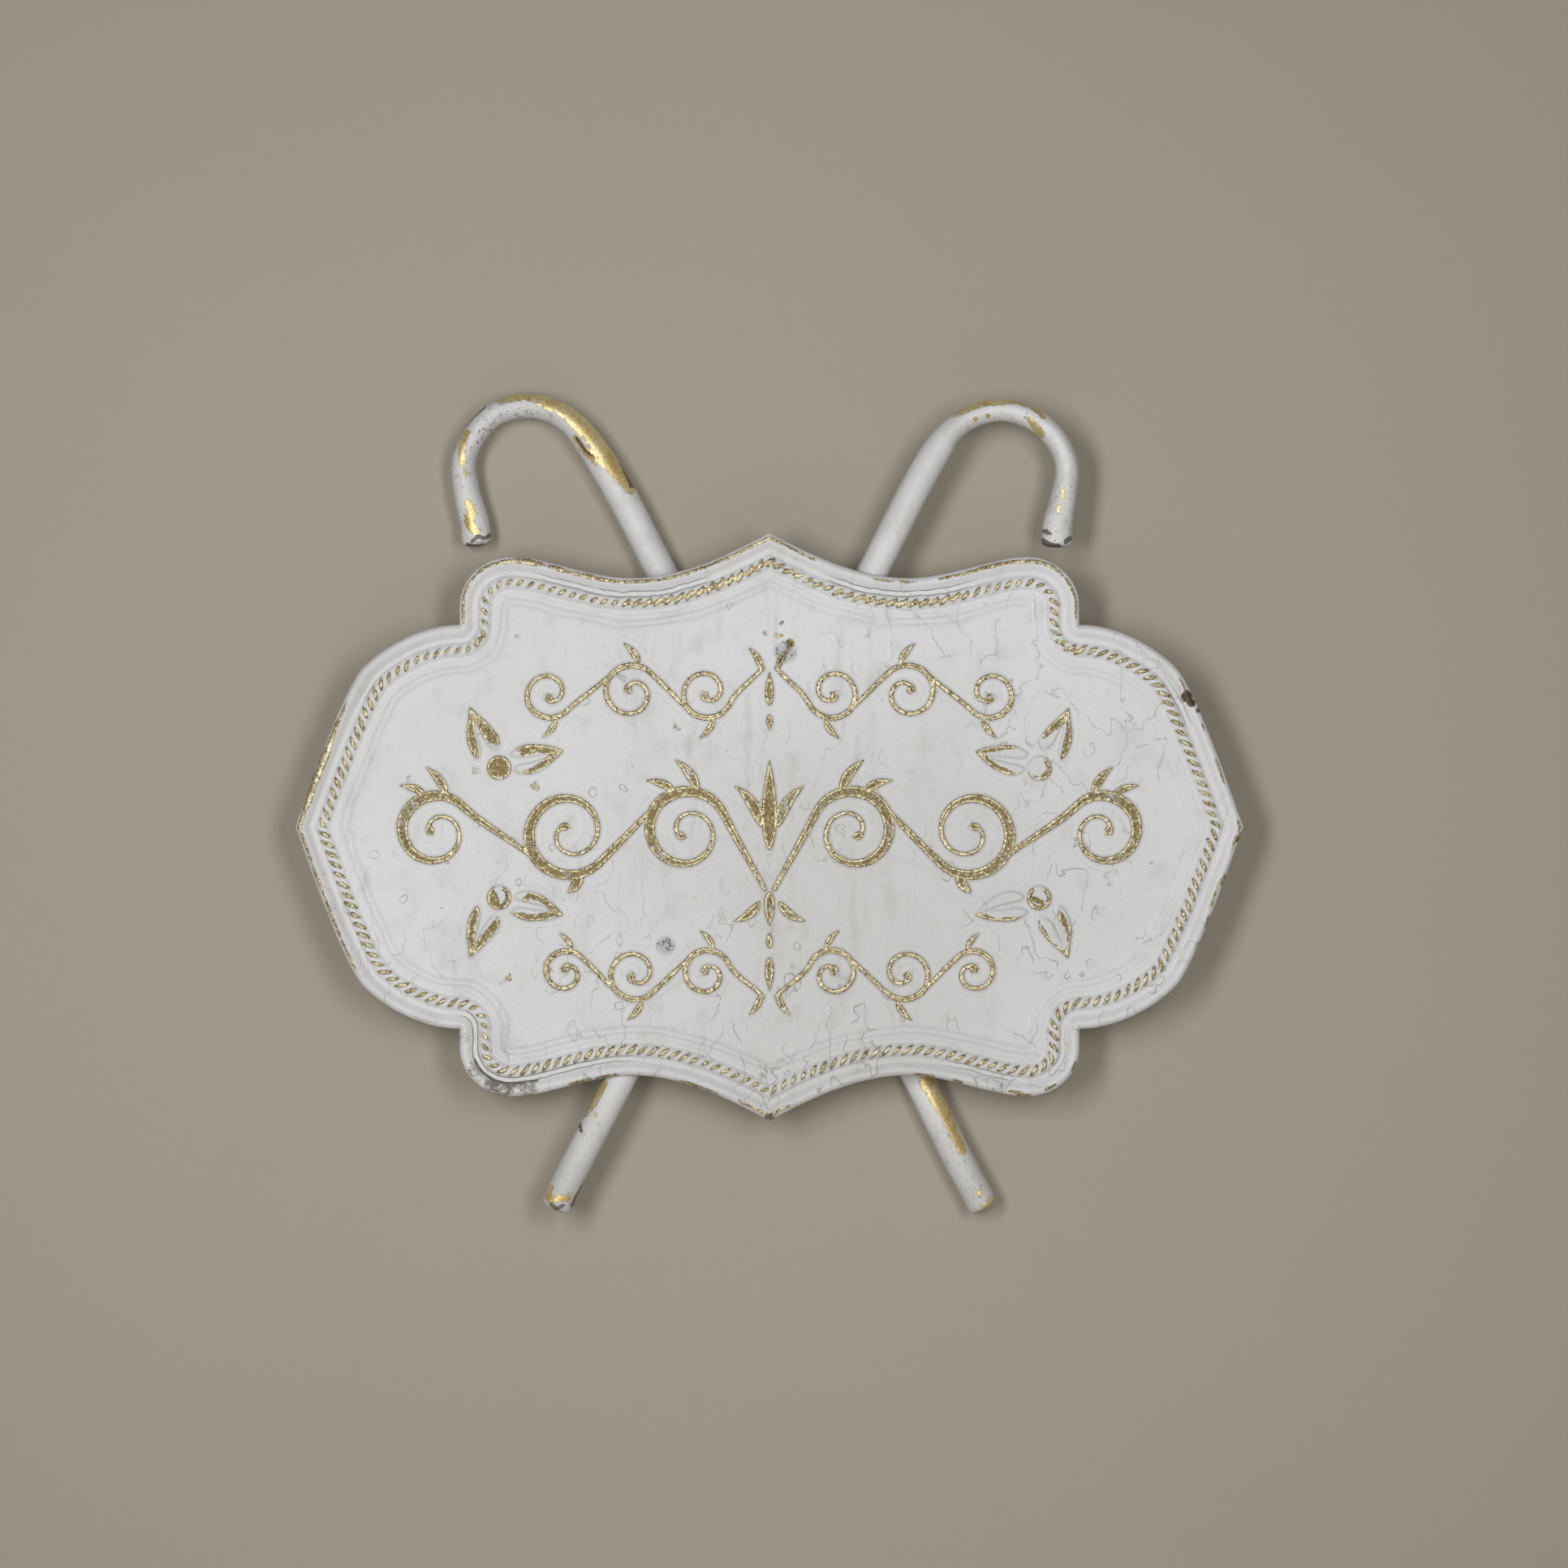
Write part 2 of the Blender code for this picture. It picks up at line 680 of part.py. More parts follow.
def build_sign():
    plate_paint = paint("plate_paint", (0.66, 0.65, 0.62), 0.55, 0.0)
    cane_paint = paint("cane_paint", (0.62, 0.60, 0.57), 0.55, 0.0)
    steel_paint = paint("steel_paint", (0.52, 0.41, 0.20), 0.45, 0.5)

    build_plate(plate_paint)

    rear, front = cane_line(REAR_HOOK, REAR_FOOT), cane_line(FRONT_HOOK, FRONT_FOOT)
    for side, line in (("rear", rear), ("front", front)):
        build_cane(side, line, cane_paint)
        along = directions(line)
        build_cap(side + "_cane_hook_cap", side, line[0], -along[0], cane_paint)
        build_cap(side + "_cane_foot_cap", side, line[-1], along[-1], cane_paint)

    rear_run, front_run = straight_part(rear), straight_part(front)
    rear_cutter = cane_cutter("rear", rear_run, steel_paint)
    front_cutter = cane_cutter("front", front_run, steel_paint)

    low = strap_low_z(front_run, rear_run)
    top_of_slot = low + CROWN_LENGTH - SLOT_BELOW_CROWN_TOP
    build_strap(low, top_of_slot, steel_paint)
    foot_z = low + CROWN_LENGTH + UPPER_FOOT / 2
    for name, sideways in (("left", -1), ("right", 1)):
        corner = (sideways * STRAP_WIDTH / 2, foot_z)
        build_strap_weld(
            "hanger_weld_" + name, corner, (0, 1), (sideways, 0), 0.6 * UPPER_FOOT, steel_paint
        )
    build_strap_weld(
        "hanger_weld_lower", (0, low - LOWER_FOOT), (1, 0), (0, -1), STRAP_WIDTH / 2, steel_paint
    )

    for name, inwards in STANDOFFS.items():
        build_standoff(name + "_standoff", rear_run, height(inwards), rear_cutter, steel_paint)
    for name, inwards in CANE_WELDS.items():
        build_cane_weld("front_cane_weld_" + name, front_run, height(inwards), steel_paint)

    cross_z = crossing(front_run, rear_run)
    cross_x = line_at(front_run, cross_z)[0]
    contact_y = (FRONT_AXIS_Y + REAR_AXIS_Y) / 2
    for name, sideways in (("left", -1), ("right", 1)):
        centre = (cross_x + sideways * CROSSING_BEAD, contact_y, cross_z)
        build_crossing_weld(
            "crossing_weld_" + name, centre, (rear_cutter, front_cutter), steel_paint
        )

    sign.location = (0, 0, -top_of_slot)


clear_scene()
sign = bpy.data.objects.new("sign", None)
bpy.context.collection.objects.link(sign)
build_sign()
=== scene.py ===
import math

import bpy
import numpy as np
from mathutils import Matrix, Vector
from mathutils.geometry import delaunay_2d_cdt, interpolate_bezier


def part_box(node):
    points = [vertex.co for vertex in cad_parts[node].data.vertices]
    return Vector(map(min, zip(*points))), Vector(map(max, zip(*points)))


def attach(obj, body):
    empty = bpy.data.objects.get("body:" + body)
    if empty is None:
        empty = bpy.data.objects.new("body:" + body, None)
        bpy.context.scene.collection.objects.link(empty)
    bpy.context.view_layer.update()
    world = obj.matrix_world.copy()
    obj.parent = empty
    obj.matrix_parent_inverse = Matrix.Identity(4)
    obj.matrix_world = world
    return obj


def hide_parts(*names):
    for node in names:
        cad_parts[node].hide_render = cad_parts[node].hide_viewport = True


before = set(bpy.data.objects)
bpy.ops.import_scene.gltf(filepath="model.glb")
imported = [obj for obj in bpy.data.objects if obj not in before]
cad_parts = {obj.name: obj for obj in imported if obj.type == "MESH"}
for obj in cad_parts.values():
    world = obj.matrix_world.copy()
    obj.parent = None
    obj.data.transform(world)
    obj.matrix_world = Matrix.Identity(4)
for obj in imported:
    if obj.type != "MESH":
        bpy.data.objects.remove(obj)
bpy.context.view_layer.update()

print("frame loaded,", len(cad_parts), "nodes")

mm = 0.001
plateLow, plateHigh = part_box("sign_plate")
plateMiddle = (plateLow + plateHigh) / 2
plateBack = plateHigh.y


# finishes

class Wire:
    # one socket of a node tree, with arithmetic on it
    def __init__(self, tree, socket=None):
        self.tree = tree
        self.socket = socket

    def node(self, kind, settings, inputs, output=0):
        made = self.tree.nodes.new("ShaderNode" + kind)
        for name, value in settings.items():
            setattr(made, name, value)
        for name, value in inputs.items():
            if isinstance(value, Wire):
                self.tree.links.new(value.socket, made.inputs[name])
            else:
                made.inputs[name].default_value = value
        return Wire(self.tree, made.outputs[output])

    def maths(self, operation, *values):
        return self.node("Math", {"operation": operation}, dict(enumerate(values)))

    def __add__(self, other):
        return self.maths("ADD", self, other)

    def __sub__(self, other):
        return self.maths("SUBTRACT", self, other)

    def __rsub__(self, other):
        return self.maths("SUBTRACT", other, self)

    def __mul__(self, other):
        return self.maths("MULTIPLY", self, other)

    def __truediv__(self, other):
        return self.maths("DIVIDE", self, other)

    def __abs__(self):
        return self.maths("ABSOLUTE", self)

    __radd__ = __add__
    __rmul__ = __mul__

    def largest(self, other):
        return self.maths("MAXIMUM", self, other)

    def clipped(self):
        return self.maths("MINIMUM", self.maths("MAXIMUM", self, 0.0), 1.0)

    def between(self, low, high):
        # 0 at low and 1 at high, smooth in between; low may be the greater
        settings = {"interpolation_type": "SMOOTHSTEP"}
        return self.node("MapRange", settings, {0: self, 1: low, 2: high, 3: 0.0, 4: 1.0})

    def mix(self, first, second):
        # colours; self is the share of the second
        settings = {"data_type": "RGBA", "clamp_factor": True}
        first, second = ((*c, 1) if isinstance(c, tuple) else c for c in (first, second))
        return self.node("Mix", settings, {0: self, 6: first, 7: second}, 2)

    def noise(self, scale, detail=3.0, roughness=0.5, output=0):
        inputs = {"Vector": self, "Scale": scale, "Detail": detail, "Roughness": roughness}
        return self.node("TexNoise", {}, inputs, output)

    def cells(self, scale, output="Distance"):
        return self.node("TexVoronoi", {"feature": "F1"}, {"Vector": self, "Scale": scale}, output)

    def stretched(self, x, y, z):
        return self.node("Mapping", {"vector_type": "POINT"}, {"Vector": self, "Scale": (x, y, z)})

    def shifted(self, x, y, z):
        return self.node("Mapping", {"vector_type": "POINT"}, {"Vector": self, "Location": (x, y, z)})

    def wandering(self, scale, reach):
        # the place, pushed about by a noise
        push = self.noise(scale, output="Color")
        centred = self.node("VectorMath", {"operation": "SUBTRACT"}, {0: push, 1: (0.5, 0.5, 0.5)})
        scaled = self.node("VectorMath", {"operation": "SCALE"}, {0: centred, "Scale": reach})
        return self.node("VectorMath", {"operation": "ADD"}, {0: self, 1: scaled})

    def axis(self, which):
        return self.node("SeparateXYZ", {}, {0: self}, which)


def newFinish(name):
    material = bpy.data.materials.new(name)
    material.use_nodes = True
    start = Wire(material.node_tree)
    return material, start, start.node("TexCoord", {}, {}, "Object")


def fill(material, **sockets):
    # links or sets the shader's sockets: colour, roughness, metallic, normal
    tree = material.node_tree
    shader = tree.nodes["Principled BSDF"]
    for name, value in sockets.items():
        socket = shader.inputs["Base Color" if name == "colour" else name.capitalize()]
        if isinstance(value, Wire):
            tree.links.new(value.socket, socket)
        else:
            socket.default_value = value


def bumped(height, distance, strength):
    return height.node("Bump", {}, {"Height": height, "Distance": distance, "Strength": strength})


undercoat = {
    "gold": (0.300, 0.215, 0.085),
    "goldDark": (0.150, 0.105, 0.045),
    "overspray": (0.520, 0.505, 0.460),
    "soot": (0.090, 0.080, 0.065),
}


def undercoatLook(place):
    # dull gold undercoat with white overspray drifting over it: colour, roughness, metallic, height
    cloud = place.noise(16, 5, 0.6)
    fleck = place.noise(1400, 2, 0.6)
    base = place.noise(85, 4, 0.6).between(0.35, 0.68).mix(undercoat["goldDark"], undercoat["gold"])
    mist = (fleck + cloud * 0.9).between(0.92, 1.12)
    colour = (mist * 0.8).mix(base, undercoat["overspray"])
    soot = place.shifted(4, 1, 0).noise(30, 4, 0.65).between(0.56, 0.74)
    colour = (soot * 0.5).mix(colour, undercoat["soot"])
    height = place.noise(420, 3) * 0.5 + mist * 0.25
    return colour, mist * 0.2 + 0.42, 0.55 - mist * 0.5, height


def fittingsFinish():
    material, _, place = newFinish("goldUndercoatFittings")
    colour, roughness, metallic, height = undercoatLook(place)
    normal = bumped(height, 0.0005, 0.6)
    fill(material, colour=colour, roughness=roughness, metallic=metallic, normal=normal)
    return material


whiteGold = {
    "white": (0.585, 0.587, 0.588),
    "whiteCool": (0.612, 0.618, 0.625),
    "whiteWorn": (0.500, 0.497, 0.482),
    "tubeWhite": (0.665, 0.664, 0.655),
    "dust": (0.410, 0.405, 0.382),
    # the next colour also paints shade round the raised strokes
    "stainAndShade": (0.270, 0.258, 0.225),
    "pink": (0.500, 0.320, 0.280),
    # the next colour also paints shade at the strokes' lower right feet and beside the rope's marks
    "grime": (0.108, 0.088, 0.064),
    "burnt": (0.025, 0.023, 0.020),
    "chip": (0.055, 0.036, 0.014),
    # on the plate the gold is duller than on the canes
    "gold": (0.290, 0.218, 0.085),
    "goldPale": (0.640, 0.550, 0.340),
    # the brightest gold is a painted highlight, and the deepest a painted shade on the strokes' flat tops
    "goldPaintedHighlight": (0.930, 0.850, 0.580),
    "goldTopShade": (0.125, 0.088, 0.016),
    "goldDark": (0.070, 0.050, 0.017),
    "tubeGold": (0.640, 0.480, 0.190),
    "tubePale": (0.760, 0.630, 0.340),
    "goldEdge": (0.085, 0.062, 0.026),
}


def driedWater(place):
    # thin wavering outlines, most of them right of the middle and low down, and small rings
    wet = place.wandering(60, 0.012).wandering(230, 0.0030)
    level = wet.stretched(1, 1, 0.55).noise(24) * 8
    broken = place.shifted(6, 0, 2).noise(110).between(0.36, 0.52)
    patch = place.shifted(2, 5, 1).noise(13).between(0.41, 0.55)
    rightwards, downwards = place.axis(0).between(-0.16, 0.10), place.axis(2).between(-0.05, -0.20)
    where = rightwards * 0.6 + downwards * 0.5 + 0.15
    line = abs(level.maths("FRACT", level) - 0.5).between(0.034, 0.006)
    line = line * (where * patch).clipped() * broken
    ring = abs(wet.cells(46) - 0.13).between(0.022, 0.004)
    ring = ring * wet.cells(46, "Color").axis(0).between(0.70, 0.74)
    return line.largest(ring * (broken * 0.5 + 0.4))


def tideMarks(place, inset, grime):
    # marks that follow the edge, in the groove outside the rope and on the step inside it: the
    # dark ones, and all of them
    along = inset + (place.noise(20) - 0.5) * 4.5 + (place.noise(160, 3, 0.6) - 0.5) * 2.0
    spaced = along / 3.4
    mark = abs(spaced.maths("FRACT", spaced) - 0.5).between(0.15, 0.04)
    some = place.shifted(0, 3, 8).noise(17).between(0.44, 0.56)
    mark = mark * (some + grime.between(0.12, 0.19)).clipped()
    inGroove = inset.between(6.8, 7.8) * inset.between(13.4, 12.4)
    onStep = inset.between(20.6, 21.6) * inset.between(34.0, 29.0)
    dark = (mark * inGroove * grime * 4.0).clipped()
    return dark, mark * (inGroove + onStep * 0.25) * (grime * 4.0 + 0.3)


def sheetMarks(place, white, mottle, coarse, inset, outside, grime):
    # the plate's own marks on its white paint, and a painted shade round the raised strokes: the colour, and
    # how much they stand up
    c = whiteGold
    # the middle is dustier, with faint drips down it, and the rim's left end is darker
    dusty = abs(place.axis(0) - 0.05).between(0.21, 0.03)
    dusty = dusty * (place.axis(2) + mottle * 0.06).between(0.05, -0.08)
    white = (dusty * 0.34).mix(white, c["dust"])
    leftEnd = inset.between(11, 8) * place.axis(0).between(-0.20, -0.26)
    white = (leftEnd * 0.30).mix(white, c["dust"])
    drips = place.wandering(60, 0.007).stretched(1, 1, 0.16).noise(90, 4, 0.65)
    drips = drips.between(0.53, 0.68) * abs(place.axis(0)).between(0.17, 0.02)
    white = (drips * 0.20).mix(white, c["stainAndShade"])
    dark, tide = tideMarks(place, inset, grime)
    white = dark.mix(white, c["grime"])
    line = driedWater(place).largest(tide)
    # a soft painted shade round what is raised, and a fine outline further out
    outline = abs(outside - 4.3 - (coarse - 0.5) * 1.6).between(0.4, 0.1)
    shade = outside.between(3.4, 0.9) * 0.10 + outline * 0.16
    white = (line * 0.66 + shade).clipped().mix(white, c["stainAndShade"])
    lip = (inset + (coarse - 0.5) * 1.5).between(1.3, 0.2) * place.noise(36).between(0.44, 0.60)
    return (lip * 0.55).mix(white, c["pink"]), line * 0.6


def sheetGold(place, worn, outside, coarse):
    # brightest with polish and a painted highlight where it is rubbed most; painted highlights at a stroke's
    # edges and in glints, and painted shade on its flat top
    c = whiteGold
    tone = place.shifted(1, 1, 1).noise(420, 4, 0.65)
    bare = tone.between(0.42, 0.60).mix(c["gold"], c["goldPale"])
    rubbed = worn.between(0.80, 1.10) * outside.between(5, 6)
    bare = (rubbed * 0.55).mix(bare, c["goldPaintedHighlight"])
    # painted shade on the flat tops
    bare = (outside.between(-0.8, -1.7) * (0.55 + tone * 0.5)).mix(bare, c["goldTopShade"])
    glints = tone.between(0.54, 0.66) * outside.between(-0.4, -1.2)
    bare = (glints * 0.5).mix(bare, c["goldPaintedHighlight"])
    # painted highlight along each stroke's edges
    edgeHighlight = abs(outside + 0.75).between(0.5, 0.1) * coarse.between(0.38, 0.56)
    return (edgeHighlight * 0.9).mix(bare, c["goldPaintedHighlight"])


def tubeGold(place):
    tone = place.shifted(1, 1, 1).noise(90, 4, 0.65)
    return tone.between(0.42, 0.60).mix(whiteGold["tubeGold"], whiteGold["tubePale"])


def whiteOverGold(name, sheet):
    # white paint rubbed through to gold; what is rubbed comes from the mesh's own attributes
    c = whiteGold
    material, start, place = newFinish(name)
    rub, grime, burn, specks, inset, outside, behind = (
        start.node("Attribute", {"attribute_name": key}, {}, "Fac")
        for key in ("rub", "grime", "burn", "specks", "inset", "outside", "behind")
    )
    coarse = place.noise(240, 4, 0.6)
    fine = place.shifted(3, 1, 2).noise(780, 4, 0.7)
    grain = 0.5 if sheet else 0.22
    ragged = (coarse - 0.5) * 0.75 + (fine - 0.5) * (grain * 2.0)
    worn = rub + ragged * (rub.between(0.02, 0.4) * 0.9 + 0.1)
    gold = worn.between(0.475, 0.54)
    goldEdge = worn.between(0.33, 0.46) * (1 - gold)

    cloud = place.noise(8, 4, 0.55)
    whites = ("white", "whiteCool") if sheet else ("tubeWhite", "white")
    white = cloud.between(0.36, 0.64).mix(*(c[key] for key in whites))
    white = (fine.between(0.40, 0.66) * 0.22).mix(white, c["whiteWorn"])
    mottle = place.shifted(7, 0, 3).noise(48, 6, 0.66)
    white = (mottle.between(0.50, 0.72) * 0.75).mix(white, c["whiteWorn"])
    smudge = place.shifted(2, 6, 5).stretched(1, 1, 0.6).noise(19, 5, 0.68)
    white = (smudge.between(0.54, 0.78) * 0.5).mix(white, c["dust"])
    relief = (mottle - 0.5) * 0.7 + (place.noise(520, 2) - 0.5) * 0.30
    if sheet:
        white, raised = sheetMarks(place, white, mottle, coarse, inset, outside, grime)
        relief = relief + raised
    else:
        # the feet are darker than the hooks, the left one most
        low = place.axis(2).between(-0.24, -0.32) * (place.axis(0).between(0.05, -0.10) * 0.25 + 0.33)
        white = (cloud.between(0.3, 0.7) * 0.12 + low).mix(white, c["dust"])
    dots = place.cells(120)
    dot = dots.between(0.10, 0.06) * place.cells(120, "Color").axis(0).between(0.88, 0.92)
    white = (dot * 0.55).mix(white, c["grime"])
    speckle = (fine * 0.55 + coarse * 0.45).between(0.555, 0.60) * specks
    white = (speckle * 0.75).mix(white, c["grime"])
    blush = place.shifted(0, 9, 0).noise(55, 3).between(0.66, 0.74) * coarse.between(0.5, 0.6)
    white = (blush * 0.35).mix(white, c["pink"])
    # dirt darkens the white, and with it the shade painted at the strokes' lower right feet and beside the
    # rope's marks
    dirt = (grime + ragged * 0.9).between(0.62, 0.95)
    white = (dirt * 0.9).mix(white, c["grime"])

    bare = sheetGold(place, worn, outside, coarse) if sheet else tubeGold(place)
    bare = (fine.between(0.49, 0.62) * (grain * 1.9)).clipped().mix(bare, c["goldDark"])
    if sheet:
        paintLeft = place.shifted(8, 2, 4).noise(900, 2, 0.6).between(0.60, 0.70)
        bare = (paintLeft * 0.5).mix(bare, c["whiteWorn"])
    # the same dirt and painted shade darken the gold
    bare = (dirt * 0.85).mix(bare, c["goldEdge"])
    colour = (goldEdge * 0.32).mix(white, c["goldEdge"])
    colour = gold.mix(colour, bare)
    pits = (fine * 0.6 + coarse * 0.4).between(0.535, 0.585) * burn.between(0.30, 0.75)
    colour = (pits * 0.9).mix(colour, c["burnt"])
    colour = ((grime + ragged * 1.4).between(1.15, 1.40) * 0.9).mix(colour, c["chip"])
    relief = relief - goldEdge * 0.3 + burn * (fine + coarse - 1.0) * 4.5 + specks * (coarse - 0.5) * 0.8
    relief = relief + gold * ((fine - 0.5) * (1.3 if sheet else 0.25) - 0.6)

    roughness = 0.58 - gold * (0.22 if sheet else 0.14) + burn * 0.05
    metallic = gold * 0.48
    backColour, backRoughness, backMetallic, backRelief = undercoatLook(place)
    back = behind.between(0.4, 0.6)
    front = 1 - back
    fill(
        material,
        colour=back.mix(colour, backColour),
        roughness=roughness * front + backRoughness * back,
        metallic=metallic * front + backMetallic * back,
        normal=bumped(relief * front + backRelief * back, 0.00045, 0.8),
    )
    return material


# the plate's outline, one quarter of it, in millimetres from its middle; numpy from here on

plateShape = {
    "peakRise": 27.8,
    "hollow": 84.3,
    "earRise": 12.9,
    "earInset": 100.3,
    "earTopBack": 31.8,
    "earRound": 30.0,
    "earDepth": 41.4,
    "shoulderInset": 39.5,
    "shoulderDrop": 28.2,
    "spacing": 0.55,
}


def quarterOutline():
    s = plateShape
    wide, high = plateHigh.x / mm, (plateHigh.z - plateMiddle.z) / mm
    hollowZ = high - s["peakRise"]
    earTop = hollowZ + s["earRise"]
    earX = wide - s["earInset"]
    notch = (earX, earTop - s["earDepth"])
    shoulder = (wide - s["shoulderInset"], notch[1] - s["shoulderDrop"])
    stretches = (
        ((0, high), (26, -14), (-30, 0), (s["hollow"], hollowZ)),
        ((s["hollow"], hollowZ), (26, 0), (-22, 0), (earX - s["earTopBack"], earTop)),
        ((earX - s["earTopBack"], earTop), (17.5, 0), (0, 16.5), (earX, earTop - s["earRound"])),
        ((earX, earTop - s["earRound"]), (0, -3), (0, 3), notch),
        (notch, (22, 0.5), (-11.5, 14), shoulder),
        (shoulder, (12, -17), (-10, 28), (wide, 0)),
    )
    rows = []
    for start, leave, arrive, end in stretches:
        first, last = Vector((*start, 0)), Vector((*end, 0))
        controls = (first, first + Vector((*leave, 0)), last + Vector((*arrive, 0)), last)
        line = np.array(interpolate_bezier(*controls, 500))[:, :2]
        run = np.concatenate(([0], np.cumsum(np.linalg.norm(np.diff(line, axis=0), axis=1))))
        even = np.linspace(0, run[-1], max(3, round(run[-1] / s["spacing"])) + 1)
        line = np.stack([np.interp(even, run, line[:, k]) for k in (0, 1)], 1)
        slope = np.gradient(line, axis=0)
        slope[0], slope[-1] = leave, (-arrive[0], -arrive[1])
        slope /= np.linalg.norm(slope, axis=1)[:, None]
        normal = np.stack((slope[:, 1], -slope[:, 0]), 1)
        if start == notch:
            # the inner corner fans out, for the rows further in
            before = math.atan2(rows[-1][3], rows[-1][2])
            after = math.atan2(normal[0, 1], normal[0, 0])
            turn = (after - before + math.pi) % (2 * math.pi) - math.pi
            steps = round(abs(turn) * 14 / s["spacing"])
            for k in range(1, steps):
                angle = before + turn * k / steps
                rows.append((*notch, math.cos(angle), math.sin(angle)))
        rows += [(*p, *n) for p, n in zip(line, normal)][1 if rows and start != notch else 0 :]
    while (len(rows) - 1) % 3:
        rows.insert(-1, tuple((a + b) / 2 for a, b in zip(rows[-2], rows[-1])))
    return np.array(rows)


quarter = quarterOutline()


def edgeDistance(points):
    # how far in from the plate's edge; every quarter of the plate is the same
    flat = np.abs(np.asarray(points, float))
    start = quarter[::2, :2]
    along = np.diff(start, axis=0, append=quarter[-1:, :2])
    length = np.maximum((along**2).sum(1), 1e-12)
    result = np.empty(len(flat))
    for k in range(0, len(flat), 4000):
        offset = flat[k : k + 4000, None] - start[None]
        share = np.clip((offset * along).sum(2) / length, 0, 1)
        result[k : k + 4000] = np.linalg.norm(offset - share[..., None] * along, axis=2).min(1)
    return result


def insidePlate(points):
    # counts the edge's crossings straight above each point
    flat = np.abs(points)
    closed = np.vstack((quarter[:, :2], [(0, 0)], quarter[:1, :2]))
    inside = np.zeros(len(flat), bool)
    for (x0, z0), (x1, z1) in zip(closed, closed[1:]):
        if x0 != x1:
            within = (flat[:, 0] >= min(x0, x1)) & (flat[:, 0] < max(x0, x1))
            inside ^= within & (flat[:, 1] < z0 + (flat[:, 0] - x0) * (z1 - z0) / (x1 - x0))
    return inside


def ringAt(distance):
    # the outline moved in, the whole way round, clockwise from the top peak
    place, normal = quarter[:, :2], quarter[:, 2:]
    points = place + distance * normal
    if distance:
        good = (points > -1e-6).all(1) & (edgeDistance(points) > distance - 0.02)
        kept = np.flatnonzero(good)
        first, last = kept[0], kept[-1]
        top = points[first, 1] + normal[first, 0] * points[first, 0] / normal[first, 1]
        side = points[last, 0] + normal[last, 1] * points[last, 1] / normal[last, 0]
        points[:first] = (0, top)
        points[last + 1 :] = (side, 0)
        for a, b in zip(kept, kept[1:]):
            if b - a > 1:
                sides = np.array((normal[a], normal[b]))
                reach = np.array((normal[a] @ points[a], normal[b] @ points[b]))
                sharp = abs(np.linalg.det(sides)) > 1e-3
                points[a + 1 : b] = np.linalg.solve(sides, reach) if sharp else points[a]
    right = np.vstack((points, (points[::-1] * (1, -1))[1:]))
    return np.vstack((right, (right[::-1] * (-1, 1))[1:-1]))


def smoothTable(x, table):
    # a smooth curve through the rows of a table
    knots, values = np.array(table, float).T
    slope = np.gradient(values, knots)
    x = np.clip(np.asarray(x, float), knots[0], knots[-1])
    k = np.clip(np.searchsorted(knots, x) - 1, 0, len(knots) - 2)
    gap = knots[k + 1] - knots[k]
    t = (x - knots[k]) / gap
    a, b = (1 + 2 * t) * (1 - t) ** 2, t * (1 - t) ** 2
    c, d = t**2 * (3 - 2 * t), t**2 * (t - 1)
    return a * values[k] + b * gap * slope[k] + c * values[k + 1] + d * gap * slope[k + 1]


def smoothStep(x, low, high):
    t = np.clip((x - low) / (high - low), 0, 1)
    return t * t * (3 - 2 * t)


def wobble(x, z, size, seed):
    # the gentle unevenness of hand-pressed sheet, about -1 to 1
    maker = np.random.default_rng(seed)
    total = 0
    for angle, phase, stretch in zip(
        maker.uniform(0, math.pi, 7), maker.uniform(0, 6.3, 7), maker.uniform(0.6, 1.7, 7)
    ):
        turn = 2 * math.pi / (size * stretch)
        total = total + np.sin((x * math.cos(angle) + z * math.sin(angle)) * turn + phase)
    return total / 4


def zones(x, z, places):
    # the strength at each point of patches given as x, z, reach, strength
    strength = np.zeros(len(x))
    for px, pz, reach, amount in places:
        far = np.hypot(x - px, z - pz) / reach
        strength = np.maximum(strength, amount * (1 - smoothStep(far, 0.55, 1.15)))
    return strength


def toRow(x, z, height):
    # plate millimetres to the model's metres
    return np.stack((
        plateMiddle.x + np.asarray(x) * mm,
        plateBack - np.asarray(height) * mm,
        plateMiddle.z + np.asarray(z) * mm,
    ), 1)


def pick(piece):
    bpy.ops.object.select_all(action="DESELECT")
    piece.select_set(True)
    bpy.context.view_layer.objects.active = piece


def addPiece(name, points, faces, finish, stands, attributes, smoothUnder=50):
    mesh = bpy.data.meshes.new(name)
    mesh.from_pydata(np.asarray(points).tolist(), [], [list(map(int, f)) for f in faces])
    for key, values in attributes.items():
        mesh.attributes.new(key, "FLOAT", "POINT").data.foreach_set("value", values)
    piece = bpy.data.objects.new(name, mesh)
    bpy.context.collection.objects.link(piece)
    mesh.materials.append(finish)
    pick(piece)
    bpy.ops.object.mode_set(mode="EDIT")
    bpy.ops.mesh.select_all(action="SELECT")
    bpy.ops.mesh.remove_doubles(threshold=1e-6)
    bpy.ops.mesh.normals_make_consistent(inside=False)
    bpy.ops.object.mode_set(mode="OBJECT")
    bpy.ops.object.shade_smooth_by_angle(angle=math.radians(smoothUnder))
    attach(piece, "root")
    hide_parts(stands)
    print(name, len(mesh.vertices), "points", len(mesh.polygons), "faces")


def addSheet(name, points, faces, finish, data, smoothUnder=50):
    # one of the pieces of the pressed plate
    data = {key: np.concatenate(values) for key, values in data.items()}
    points = np.vstack(points)
    addPiece(name, points, faces, finish, "sign_plate", data, smoothUnder)


def ringFaces(rings, count, closed=True):
    faces = []
    for r in range(rings if closed else rings - 1):
        a, b = r * count, (r + 1) % rings * count
        for k in range(count):
            j = (k + 1) % count
            faces.append((a + k, a + j, b + j, b + k))
    return faces


